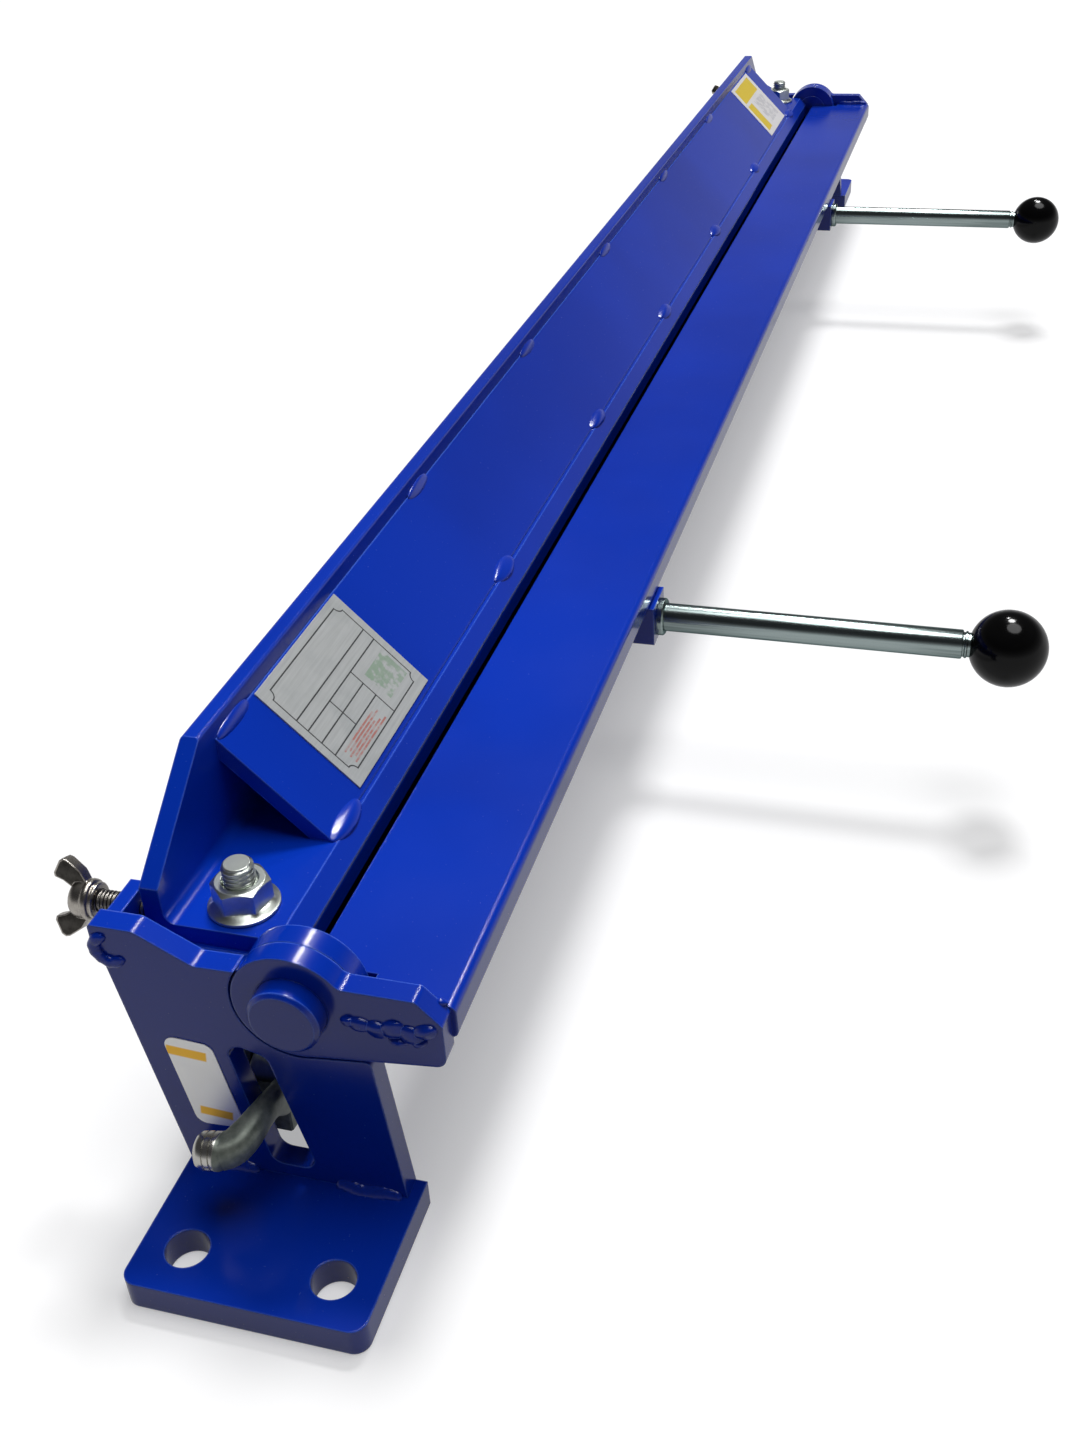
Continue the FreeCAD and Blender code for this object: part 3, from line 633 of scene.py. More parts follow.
@dataclass(frozen=True)
class BeamFilm:
    """White film on the brace's far end with a yellow block, a yellow bar and a grey smudge."""

    where: Extent
    name: str = "beam_film"

    def material(self) -> bpy.types.Material:
        """Builds the printed film.

        Returns:
            The material.
        """
        g = Graph.material(self.name)
        x, y, _ = g.axes()
        u = (x - self.where.low.x) / (self.where.high.x - self.where.low.x)
        v = (y - (self.where.high.y - PRINT_RUN)) / PRINT_RUN
        wobble = 0.02 * (g.noise(120.0) - 0.5)
        block = (u + wobble).between(0.1, 0.9) * (v + wobble).between(0.66, 0.94)
        bar = (u + wobble).between(0.08, 0.3) * (v + wobble).between(0.08, 0.6)
        smudge = (u + wobble).between(0.42, 0.9) * v.between(0.12, 0.58) * g.noise(300.0, 2.0).fade(0.42, 0.6)
        paper = g.mix(g.noise(60.0), (0.72, 0.7, 0.69), (0.82, 0.81, 0.8))
        colour = g.mix(smudge * 0.4, paper, (0.3, 0.3, 0.34))
        colour = g.mix(block | bar, colour, (0.76, 0.56, 0.03))
        normal = g.bump(g.noise(400.0), 0.01, 0.3)
        return g.surface({"Base Color": colour, "Roughness": 0.34 + 0.08 * g.noise(40.0), "Normal": normal})


@dataclass(frozen=True)
class SideFilm:
    """Pale film on the near end plate with two amber patches.

    Each patch is given by its Y and Z from the film's middle, its half width and its half height.
    """

    where: Extent
    name: str = "side_film"
    patches: tuple[tuple[float, float, float, float], ...] = (
        (3.02, 9.73, 5.3, 1.5), (-1.58, -9.87, 4.4, 1.4))
    blur_mm: float = 0.25

    def material(self) -> bpy.types.Material:
        """Builds the printed film.

        Returns:
            The material.
        """
        g = Graph.material(self.name)
        _, y, z = g.axes()
        y = y - self.where.middle.y
        z = z - self.where.middle.z
        marks = []
        for cy, cz, half_y, half_z in self.patches:
            level = z - cz - 0.06 * (y - cy)
            mark = abs(y - cy + 0.12 * level).fade(half_y + self.blur_mm, half_y - self.blur_mm)
            marks.append(mark * abs(level).fade(half_z + self.blur_mm, half_z - self.blur_mm))
        shade = g.noise(70.0, 2.0)
        paper = g.mix(shade, (0.8, 0.8, 0.78), (0.95, 0.95, 0.93))
        colour = g.mix(any_of(marks), paper, (0.92, 0.52, 0.05))
        normal = g.bump(g.noise(300.0), 0.01, 0.3)
        return g.surface({
            "Base Color": colour, "Metallic": 0.75, "Roughness": 0.3 + 0.1 * shade, "Normal": normal})


@dataclass(frozen=True)
class Finishes:
    """One material of each finish, shared by all pieces."""

    enamel: bpy.types.Material
    bed: bpy.types.Material
    bead: bpy.types.Material
    zinc: bpy.types.Material
    satin: bpy.types.Material
    drawn: bpy.types.Material
    ball: bpy.types.Material
    burnished: bpy.types.Material
    rubbed: bpy.types.Material
    lever: bpy.types.Material
    foil: bpy.types.Material
    beam_film: bpy.types.Material
    side_film: bpy.types.Material

    @classmethod
    def from_frame(cls) -> "Finishes":
        """Builds every finish, those that change over a piece by its place in the frame.

        Returns:
            The finishes.
        """
        lever = LeverCasting(
            polish_from_mm=Extent.of("right_clamp_stud").middle.y - 3.3,
            outside_mm=Extent.of("right_end_plate").high.x + 6.0)
        drawn = Zinc(
            name="drawn_zinc", light=(0.4, 0.48, 0.47), dull=(0.17, 0.22, 0.215), rough=0.14,
            stretch=(3.0, 0.12, 3.0), rim=(0.22, 0.27, 0.27))
        rubbed = Burnished(name="rubbed_steel", light=(0.52, 0.49, 0.44), dark=(0.36, 0.33, 0.3), rough=0.2)
        return cls(
            enamel=Enamel().material(),
            # The bed's enamel has painted shade in the gap before the leaf.
            bed=Enamel(name="bed_enamel", gap=Extent.of("bed_angle")).material(),
            bead=Enamel(name="bead_enamel", edge_mm=0.2, gloss=0.2).material(),
            zinc=Zinc().material(),
            satin=Zinc(name="satin_zinc", rough=0.27).material(),
            drawn=drawn.material(),
            ball=BallPlastic().material(),
            burnished=Burnished().material(),
            rubbed=rubbed.material(),
            lever=lever.material(),
            foil=PrintedFoil(Extent.of("rating_plate")).material(),
            beam_film=BeamFilm(Extent.of("beam_label")).material(),
            side_film=SideFilm(Extent.of("side_label")).material())


# Meshes

def around(count: int) -> list[float]:
    """Angles of evenly spaced points on a circle."""
    return [2 * math.pi * i / count for i in range(count)]


def paint(frame: dict[str, Any], nodes: Sequence[str], material: bpy.types.Material) -> None:
    """Gives carried-over nodes a finish.

    Args:
        nodes: node names.
        material: the finish.
    """
    for name in nodes:
        data = frame["nodes"][name].data
        if not data.materials:
            data.materials.append(material)
        for i in range(len(data.materials)):
            data.materials[i] = material
        LOG.info("%s: %s", name, material.name)


class Sculpt:
    """A mesh under construction, in millimetres on the part's axes."""

    def __init__(self) -> None:
        """Starts empty."""
        self.bm = bmesh.new()

    def rings(self, rings: Sequence[Sequence[Vector]], capped: bool = True, finish: int = 0) -> None:
        """Skins a row of closed rings with equal counts.

        Args:
            rings: points of each ring, in order along the skin.
            capped: closes the first and last ring.
            finish: which of the piece's finishes the skin between the rings has.
        """
        rows = [[self.bm.verts.new(p) for p in ring] for ring in rings]
        count = len(rows[0])
        for low, high in zip(rows, rows[1:]):
            for i in range(count):
                j = (i + 1) % count
                self.bm.faces.new((low[i], low[j], high[j], high[i])).material_index = finish
        if capped:
            self.bm.faces.new(list(reversed(rows[0])))
            self.bm.faces.new(rows[-1])

    def loop(self, rings: Sequence[Sequence[Vector]]) -> None:
        """Skins a row of closed rings and joins the last one to the first."""
        self.rings([*rings, rings[0]], False)
        bmesh.ops.remove_doubles(self.bm, verts=self.bm.verts, dist=0.0005)

    def lathe(self, profile: Sequence[tuple[float, float]], origin: Vector, axis: Vector, count: int = 48,
              finish: int = 0) -> None:
        """Turns a profile about an axis.

        Args:
            profile: radius and distance along the axis, in order.
            origin: where the distance is 0.
            axis: direction of the axis.
            count: points round each ring.
            finish: which of the piece's finishes it has.
        """
        axis = axis.normalized()
        side = axis.orthogonal().normalized()
        other = axis.cross(side)
        rings = []
        for radius, along in profile:
            rings.append([
                origin + axis * along + (side * math.cos(a) + other * math.sin(a)) * max(radius, POINT_R)
                for a in around(count)])
        self.rings(rings, finish=finish)

    def thread(self, origin: Vector, axis: Vector, length: float, major: float, pitch: float,
               chamfer: float = 0.8, count: int = 40) -> None:
        """Cuts a helical thread on a shank whose end has a chamfer.

        Args:
            origin: start of the thread.
            axis: direction towards the free end.
            length: threaded length.
            major: outer radius.
            pitch: rise of one turn.
            chamfer: width of the end's chamfer.
            count: points round the shank.
        """
        axis = axis.normalized()
        side = axis.orthogonal().normalized()
        other = axis.cross(side)
        depth = 0.6 * pitch
        rows = int(length / (pitch / 8))
        rings = []
        for k in range(rows + 1):
            along = length * k / rows
            ring = []
            for i, a in enumerate(around(count)):
                phase = (along / pitch - i / count) % 1.0
                ridge = max(0.0, min(1.0, 2.9 * (0.5 - abs(phase - 0.5)) - 0.1))
                radius = min(major - depth * (1 - ridge), major - chamfer + (length - along))
                ring.append(origin + axis * along + (side * math.cos(a) + other * math.sin(a)) * radius)
            rings.append(ring)
        self.rings(rings)

    def bead(self, path: Sequence[Vector], up: Vector, wide: float, high: float, seed: int,
             step: float = 0.55) -> None:
        """Lays a rippled weld bead along a path.

        Args:
            path: points of the bead's middle.
            up: direction out of the seam.
            wide: half width.
            high: half height.
            seed: keeps the unevenness the same each run.
            step: distance between rings.
        """
        dice = random.Random(seed)
        marks: list[Vector] = []
        for a, b in zip(path, path[1:]):
            pieces = max(1, int((b - a).length / step))
            marks += [a.lerp(b, i / pieces) for i in range(pieces)]
        marks.append(path[-1])
        total = len(marks) - 1
        phase = dice.uniform(0, 6.0)
        drift = [dice.uniform(-1, 1) for _ in range(total // 3 + 4)]
        rings = []
        for k, middle in enumerate(marks):
            forward = (marks[min(k + 1, total)] - marks[max(k - 1, 0)]).normalized()
            across = up.cross(forward).normalized()
            rise = across.cross(forward).normalized() * -1.0
            if rise.dot(up) < 0:
                rise.negate()
            t = k / max(total, 1)
            taper = math.sqrt(max(0.02, 1 - (2 * t - 1) ** 6))
            between = (k % 3) / 3
            uneven = drift[k // 3] * (1 - between) + drift[k // 3 + 1] * between
            size = taper * (1 + 0.13 * abs(math.sin(phase + k * 0.95)) + 0.1 * uneven)
            middle = middle + across * (0.18 * wide * math.sin(phase + 0.31 * k))
            rings.append([
                middle + across * (wide * size * math.cos(a)) + rise * (high * size * math.sin(a))
                for a in around(16)])
        self.rings(rings)

    def blob(self, centre: Vector, along: Vector, up: Vector, sizes: Triple, seed: int) -> None:
        """Adds one flattened lump of weld.

        Args:
            centre: middle of the lump.
            along: its long direction.
            up: direction out of the seam.
            sizes: half length, half width and half height.
            seed: keeps the unevenness the same each run.
        """
        dice = random.Random(seed)
        along = along.normalized()
        across = up.cross(along).normalized()
        rise = along.cross(across).normalized()
        if rise.dot(up) < 0:
            rise.negate()
        waves = [(dice.uniform(0.02, 0.07), dice.randint(2, 5), dice.uniform(0, 6.3)) for _ in range(3)]
        long, wide, high = sizes
        rings = []
        rows, count = 22, 26
        for k in range(rows + 1):
            lat = -math.pi / 2 + math.pi * k / rows
            ring = []
            for a in around(count):
                grow = 1 + sum(h * math.sin(n * a + p + 1.7 * lat) for h, n, p in waves)
                r = max(math.cos(lat), 0.02) * grow
                ring.append(
                    centre + along * (long * math.sin(lat)) + across * (wide * r * math.cos(a))
                    + rise * (high * r * math.sin(a)))
            rings.append(ring)
        self.rings(rings)

    def limb(self, stations: Sequence[tuple[Vector, float, float]], steps: int = 6, count: int = 28) -> None:
        """Skins a smooth arm with flattened sides through stations.

        Args:
            stations: centre, half width and half height of each station.
            steps: rings between two stations.
            count: points round each ring.
        """
        last = len(stations) - 1
        marks: list[tuple[Vector, float, float]] = []
        for k in range(last):
            ends = [stations[max(0, min(last, k + d))] for d in (-1, 0, 1, 2)]
            for i in range(steps + (k == last - 1)):
                t = i / steps
                weights = (-0.5 * t + t * t - 0.5 * t ** 3, 1 - 2.5 * t * t + 1.5 * t ** 3,
                           0.5 * t + 2 * t * t - 1.5 * t ** 3, -0.5 * t * t + 0.5 * t ** 3)
                centre = sum((e[0] * w for e, w in zip(ends, weights)), Vector())
                wide = sum(e[1] * w for e, w in zip(ends, weights))
                high = sum(e[2] * w for e, w in zip(ends, weights))
                marks.append((centre, wide, high))
        rings = []
        for k, (centre, wide, high) in enumerate(marks):
            forward = (marks[min(k + 1, len(marks) - 1)][0] - marks[max(k - 1, 0)][0]).normalized()
            across = forward.cross(Vector((0, 0, 1))).normalized()
            rise = across.cross(forward).normalized()
            ring = []
            for a in around(count):
                c, d = math.cos(a), math.sin(a)
                flat = (abs(c) ** 2.8 + abs(d) ** 2.8) ** (-1 / 2.8)
                ring.append(centre + across * (wide * flat * c) + rise * (high * flat * d))
            rings.append(ring)
        self.rings(rings)

    def slab(self, outline: Sequence[Vector], thick: Vector) -> None:
        """Adds a flat plate from an outline.

        Args:
            outline: closed outline of one face.
            thick: offset of the other face.
        """
        self.rings([list(outline), [p + thick for p in outline]])

    def place(self, name: str, material: bpy.types.Material, body: str, sharp_deg: float = 38.0,
              second: bpy.types.Material | None = None) -> bpy.types.Object:
        """Turns the mesh into a piece that rides on a body.

        Args:
            name: the piece's name.
            material: its finish.
            body: the body it rides on.
            sharp_deg: edges steeper than this stay sharp.
            second: the finish of faces marked 1.

        Returns:
            The new object.
        """
        bmesh.ops.recalc_face_normals(self.bm, faces=self.bm.faces)
        limit = math.radians(sharp_deg)
        for face in self.bm.faces:
            face.smooth = True
        for edge in self.bm.edges:
            if len(edge.link_faces) == 2 and edge.calc_face_angle(0.0) > limit:
                edge.smooth = False
        bmesh.ops.scale(self.bm, vec=(MM, MM, MM), verts=self.bm.verts)
        mesh = bpy.data.meshes.new(name)
        self.bm.to_mesh(mesh)
        self.bm.free()
        mesh.materials.append(material)
        if second:
            mesh.materials.append(second)
        piece = bpy.data.objects.new(name, mesh)
        bpy.context.scene.collection.objects.link(piece)
        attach(piece, body)
        LOG.info("%s: %d faces on %s", name, len(mesh.polygons), body)
        return piece


# Sub-assemblies

@dataclass
class Bed:
    """Bed angle, end plates, feet and hinge bosses, with their welds.

    The foot's beads are given by their ends from the foot's middle, the ear's bead from the plate's corner.
    A bead's size is its half width and half height, a lump's its half length, half width and half height.
    """

    finishes: Finishes
    plate: Extent
    foot: Extent
    legs: tuple[tuple[float, float], ...] = ((-26.6, -9.2), (11.6, 29.4))
    leg_size: tuple[float, float] = (1.9, 0.95)
    leg_out: float = 0.5
    ear: tuple[float, float] = (-4.3, -6.9)
    ear_r: float = 3.6
    ear_size: tuple[float, float] = (1.5, 1.2)
    ear_out: float = 0.1
    tail: tuple[float, float] = (-1.2, -3.2)
    tail_size: Triple = (2.6, 1.5, 1.1)

    @classmethod
    def from_frame(cls, finishes: Finishes) -> "Bed":
        """Takes plate and foot from the frame."""
        return cls(finishes, Extent.of("right_end_plate"), Extent.of("right_foot_plate"))

    def build(self) -> None:
        """Makes the weld beads of the frame."""
        for side in Side:
            s = side.value
            out = Vector((s, 0, 0))
            sculpt = Sculpt()
            for k, leg in enumerate(self.legs):
                x = s * (self.plate.high.x + self.leg_out)
                z = self.foot.high.z + self.leg_out
                path = [Vector((x, self.foot.middle.y + y, z)) for y in (leg[0], sum(leg) / 2, leg[1])]
                sculpt.bead(path, Vector((s, 0, 1)), *self.leg_size, 40 + k + 5 * (s > 0))
            ear = Vector((s * (self.plate.high.x + self.ear_out), self.plate.high.y + self.ear[0],
                          self.plate.high.z + self.ear[1]))
            arc = [ear + Vector((0, math.cos(a), math.sin(a))) * self.ear_r
                   for a in (math.radians(d) for d in range(-150, 91, 20))]
            sculpt.bead(arc, out, *self.ear_size, 51 + (s > 0))
            sculpt.blob(ear + Vector((0, *self.tail)), Vector((0, 1, -0.4)), out, self.tail_size, 53)
            piece = sculpt.place(side.node("frame_weld_beads"), self.finishes.bead, "frame")
            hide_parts(side.node("frame_welds"))

    def dress(self, frame: dict[str, Any]) -> None:
        """Finishes the carried-over nodes."""
        pair = ("end_plate", "foot_plate", "hinge_lug", "hinge_pin", "adjuster_lug")
        paint(frame, ["bed_angle"], self.finishes.bed)
        paint(frame, [s.node(n) for n in pair for s in Side], self.finishes.enamel)
        paint(frame, [s.node("thrust_sleeve") for s in Side], self.finishes.zinc)
        paint(frame, ["side_label"], self.finishes.side_film)


@dataclass
class Leaf:
    """Folding leaf with its arms and ball handles.

    The seam is given by Y from the weld's front end. The lumps on the arm are given by Y and Z from its
    lower front corner, half length, half width and slope. The rod's outline is given by what is added to its
    radius and by the distance from the block's front.
    """

    finishes: Finishes
    bar: Extent
    arm: Extent
    weld: Extent
    block: Extent
    rod: Extent
    knob: Extent
    seam: tuple[float, ...] = (-1.2, 7.8, 17.2)
    seam_size: tuple[float, float] = (1.7, 1.3)
    seam_in: float = 0.4
    seam_up: float = 0.5
    lumps: tuple[tuple[float, float, float, float, float], ...] = (
        (4.3, 14.9, 3.2, 2.0, -0.3), (7.9, 13.2, 3.4, 2.3, 0.35), (12.1, 14.0, 3.4, 2.5, -0.2),
        (16.1, 13.2, 3.2, 2.3, 0.25), (20.1, 14.0, 3.4, 1.7, 0.1), (22.9, 14.6, 2.0, 1.1, 0.0),
        (11.0, 10.9, 2.6, 1.2, 0.15), (5.9, 11.3, 2.0, 1.1, -0.2))
    lump_high: float = 1.8
    lump_in: float = 0.3
    lump_spread: float = 1.1
    rod_r: float = 4.75
    turned: tuple[tuple[float, float], ...] = (
        (0.0, -19.5), (0.0, -0.2), (1.5, 0.0), (1.6, 0.4), (1.6, 2.0), (1.1, 2.5), (0.0, 2.6), (0.0, 40.0),
        (0.0, 99.3), (-0.2, 99.7), (-0.7, 99.8), (-0.75, 100.3), (-0.35, 100.6), (-0.35, 101.1),
        (-0.75, 101.3), (-0.75, 107.0))
    neck_r: float = 4.01
    neck_from: float = 10.4
    ball_beyond: float = 6.0
    ball_inset: float = 0.04

    @classmethod
    def from_frame(cls, finishes: Finishes) -> "Leaf":
        """Takes the leaf's right half from the frame."""
        names = ("leaf_arm", "leaf_weld", "handle_block", "handle_rod", "handle_knob")
        return cls(finishes, Extent.of("leaf_bar"), *(Extent.of(Side.RIGHT.node(name)) for name in names))

    def build(self) -> None:
        """Makes the beads, rods and balls."""
        for side in Side:
            self._welds(side)
            self._handle(side)

    def _welds(self, side: Side) -> None:
        """Makes the seam along the arm and the lumps on it.

        Args:
            side: which end.
        """
        s = side.value
        out = Vector((s, 0, 0))
        sculpt = Sculpt()
        x = s * (self.bar.high.x - self.seam_in)
        seam = [Vector((x, self.weld.low.y + y, self.bar.high.z + self.seam_up)) for y in self.seam]
        sculpt.bead(seam, Vector((-s, 0, 1)), *self.seam_size, 7 + (s > 0))
        face = s * (self.arm.high.x - self.lump_in)
        for k, (y, z, long, wide, tilt) in enumerate(self.lumps):
            along = Vector((0, math.cos(tilt), math.sin(tilt)))
            lump = Vector((face, self.arm.low.y + y, self.arm.low.z + z))
            size = (long, self.lump_spread * wide, self.lump_high)
            sculpt.blob(lump, along, out, size, 60 + k + 20 * (s > 0))
        piece = sculpt.place(side.node("leaf_weld_bead"), self.finishes.bead, "leaf")
        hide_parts(side.node("leaf_weld"))

    def _handle(self, side: Side) -> None:
        """Makes one rod and ball.

        Args:
            side: which end.
        """
        middle = self.rod.middle
        origin = Vector((side.value * middle.x, self.block.low.y, middle.z))
        forward = Vector((0, -1, 0))
        rod = Sculpt()
        rod.lathe([(self.rod_r + grow, along) for grow, along in self.turned], origin, forward)
        piece = rod.place(side.node("zinc_rod"), self.finishes.drawn, "leaf")
        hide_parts(side.node("handle_rod"))
        ball = Sculpt()
        start = self.block.low.y - self.rod.low.y + self.ball_beyond
        radius = (self.knob.high.z - self.knob.low.z) / 2 - self.ball_inset
        neck = [(self.neck_r, start - self.neck_from)]
        swell = [(radius * math.sin(a), start - radius * math.cos(a))
                 for a in (math.radians(d) for d in range(20, 180, 4))]
        ball.lathe(neck + swell + [(0.0, start + radius)], origin, forward, 64)
        piece = ball.place(side.node("black_ball"), self.finishes.ball, "leaf", 60.0)
        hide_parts(side.node("handle_knob"))

    def dress(self, frame: dict[str, Any]) -> None:
        """Finishes the carried-over nodes."""
        pair = ("leaf_arm", "handle_block")
        paint(frame, ["leaf_bar"] + [s.node(n) for n in pair for s in Side], self.finishes.enamel)


@dataclass
class Beam:
    """Clamp beam with its slanting brace, stitch welds and blank labels.

    Each stitch is given by X, Y and Z from the brace's edge and by half length, half width and half height.
    """

    finishes: Finishes
    brace: Extent
    pitch: float = 128.0
    end_inset: float = 9.0
    near: Triple = (0.0, 0.5, 0.35)
    near_size: Triple = (9.2, 3.1, 1.5)
    far: Triple = (0.4, -0.4, -0.3)
    far_size: Triple = (8.8, 2.4, 1.0)

    @classmethod
    def from_frame(cls, finishes: Finishes) -> "Beam":
        """Takes the brace from the frame."""
        return cls(finishes, Extent.of("brace_plate"))

    def build(self) -> None:
        """Makes the stitch welds."""
        sculpt = Sculpt()
        along = Vector((1, 0, 0))
        end = self.brace.high.x - self.end_inset
        for k, x in enumerate([-end, *(self.pitch * n for n in range(-2, 3)), end]):
            near = Vector((x, self.brace.low.y, self.brace.low.z)) + Vector(self.near)
            sculpt.blob(near, along, Vector((0, -0.38, 0.92)), self.near_size, 100 + k)
            far = Vector((x, self.brace.high.y, self.brace.high.z)) + Vector(self.far)
            sculpt.blob(far, along, Vector((0, -0.92, 0.38)), self.far_size, 200 + k)
        piece = sculpt.place("brace_stitch_beads", self.finishes.bead, "beam")
        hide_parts("brace_stitches")

    def dress(self, frame: dict[str, Any]) -> None:
        """Finishes the carried-over nodes."""
        paint(frame, ["clamp_beam", "brace_plate"], self.finishes.enamel)
        paint(frame, ["rating_plate"], self.finishes.foil)
        paint(frame, ["beam_label"], self.finishes.beam_film)


@dataclass
class ClampEnd:
    """Eye bolt, pin, flanged nut, cam lever and wing screw at one end.

    Turned outlines are given by radius and distance along the axis, the nut's bore from its top. The lever's
    arm is given by X (outwards), Y and Z from the pivot, half width and half height. The wing is given by
    its distance from the screw's axis and along it, and its skin by share of its thickness and of its size.
    """

    finishes: Finishes
    side: Side
    stud: Extent
    pin: Extent
    nut: Extent
    screw: Extent
    bolt_r: float = 4.0
    bolt_pitch: float = 1.25
    thread_below_nut: float = 3.0
    shank_above_pivot: float = 6.0
    eye: tuple[tuple[float, float], ...] = (
        (8.6, -4.5), (9.0, -4.1), (9.0, 4.1), (8.6, 4.5), (4.0, 4.5), (4.0, -4.5))
    flange: tuple[tuple[float, float], ...] = ((4.0, 0.0), (8.6, 0.0), (8.95, 0.3), (8.9, 0.9), (8.3, 1.15))
    nut_flats: float = 13.0
    nut_turn: float = 12.0
    flat_foot: tuple[float, float] = (7.6, 1.7)
    flat_z: tuple[float, float] = (2.1, 4.5)
    crown_r: float = 6.1
    crown_slope: float = 0.62
    nut_bore: tuple[tuple[float, float], ...] = ((4.7, 0.0), (4.0, -0.7))
    cam_r: float = 9.5
    cam_offset: tuple[float, float] = (-4.18, 4.98)
    hub_r: float = 8.0
    bore_r: float = 4.06
    fork_out: float = 14.5
    fork_low: float = -5.6
    fork_high: float = 6.4
    cheek_in: float = 4.7
    cheek_out: float = 9.7
    cheek_bevel: float = 0.5
    bridge_from: float = 10.0
    bridge_low: float = -4.6
    bridge_high: float = 6.0
    arm: tuple[tuple[float, float, float, float, float], ...] = (
        (5.5, -7.2, -0.3, 2.3, 5.2), (13.0, -7.6, 5.4, 2.8, 4.8), (17.5, -9.0, 9.6, 2.5, 4.2),
        (21.5, -9.4, 12.1, 2.5, 3.9), (27.0, -9.2, 13.4, 3.0, 3.8), (32.1, -8.1, 12.8, 3.7, 3.9),
        (35.7, -6.1, 11.6, 4.0, 4.1), (37.3, -3.2, 11.0, 4.2, 4.25))
    thumb: tuple[tuple[float, float], ...] = (
        (3.6, -1.6), (4.3, -1.0), (4.75, 0.0), (4.75, 1.1), (4.35, 1.25), (4.35, 1.5), (4.75, 1.65),
        (4.75, 2.7), (4.35, 2.85), (4.35, 3.1), (4.7, 3.25), (4.6, 4.4), (4.1, 5.3), (3.0, 5.9), (0.0, 6.2))
    thumb_lean: Triple = (0.12, 1.0, -0.04)
    screw_r: float = 3.0
    screw_pitch: float = 1.0
    screw_thread: tuple[float, float] = (15.6, 13.8)
    screw_tip: tuple[tuple[float, float], ...] = ((1.9, 0.0), (2.3, 0.3), (2.3, 2.2))
    hub: tuple[tuple[float, float], ...] = (
        (3.1, 15.2), (4.3, 15.3), (4.6, 15.6), (4.6, 16.1), (4.3, 16.4), (4.9, 16.6), (5.2, 17.0),
        (5.3, 17.8), (5.1, 18.3), (4.9, 18.5), (4.9, 20.2), (4.7, 21.2), (4.0, 22.0), (0.0, 22.2))
    wing: tuple[tuple[float, float], ...] = (
        (2.6, 17.6), (4.6, 17.9), (7.4, 19.6), (10.0, 23.2), (10.3, 24.4), (9.7, 25.5), (6.2, 27.25),
        (5.2, 27.0), (4.4, 24.6), (2.6, 21.8))
    wing_middle: tuple[float, float] = (6.6, 22.6)
    wing_half: float = 1.25
    wing_flare: float = 0.05
    left_turn: float = 19.0
    right_turn: float = 38.0
    wing_skin: tuple[tuple[float, float], ...] = (
        (-1.0, 0.86), (-0.94, 0.97), (0.0, 1.0), (0.94, 0.97), (1.0, 0.86))

    @classmethod
    def from_frame(cls, finishes: Finishes, side: Side) -> "ClampEnd":
        """Takes one end's stud, pin, nut and screw from the frame."""
        nodes = ("clamp_stud", "cam_pin", "clamp_nut", "wing_screw")
        return cls(finishes, side, *(Extent.of(side.node(name)) for name in nodes))

    @property
    def pivot(self) -> Vector:
        """Middle of the cross pin, where the lever turns."""
        middle = self.stud.middle
        return Vector((middle.x, middle.y, self.pin.high.z - self.bolt_r))

    def build(self) -> None:
        """Makes the threaded, pressed and cast pieces."""
        self._stud()
        self._nut()
        self._lever()
        self._screw()

    def _to_flat(self, a: float) -> float:
        """Distance from the nut's axis to its hexagon in a direction."""
        turned = (math.degrees(a) - self.side.value * self.nut_turn) % 60.0
        return self.nut_flats / 2 / math.cos(math.radians(turned - 30.0))

    def _nut(self) -> None:
        """Makes the flanged nut with its bevelled hexagon."""
        base = Vector((self.stud.middle.x, self.stud.middle.y, self.nut.low.z))
        top = self.nut.high.z - self.nut.low.z
        angles = around(96)
        flats = [self._to_flat(a) for a in angles]
        rows = [[row] * len(angles) for row in self.flange]
        foot_r, foot_z = self.flat_foot
        rows += [[(max(foot_r, flat), foot_z) for flat in flats]]
        rows += [[(flat, z) for flat in flats] for z in self.flat_z]
        rows += [[(flat, top - self.crown_slope * max(0.0, flat - self.crown_r)) for flat in flats]]
        rows += [[(r, top + z)] * len(angles) for r, z in ((self.crown_r, 0.0), *self.nut_bore)]
        sculpt = Sculpt()
        sculpt.loop([
            [base + Vector((r * math.cos(a), r * math.sin(a), z)) for a, (r, z) in zip(angles, row)]
            for row in rows])
        piece = sculpt.place(self.side.node("flange_nut"), self.finishes.satin, "clamp_studs", 24.0)
        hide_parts(self.side.node("clamp_nut"))

    def _cheek_reach(self, a: float) -> float:
        """Outline of the lever's cheek.

        Args:
            a: direction from the pivot, 0 is outwards.

        Returns:
            The distance from the pivot to the outline.
        """
        ux, uz = math.cos(a), math.sin(a)
        cx, cz = self.cam_offset
        across = cx * uz - cz * ux
        best = self.hub_r
        if abs(across) < self.cam_r:
            best = max(best, cx * ux + cz * uz + math.sqrt(self.cam_r ** 2 - across ** 2))
        if ux > 0.05:
            out = self.fork_out / ux
            if self.fork_low <= out * uz <= self.fork_high:
                best = max(best, out)
            elif uz:
                edge = self.fork_high if uz > 0 else self.fork_low
                best = max(best, min(out, edge / uz))
        return best

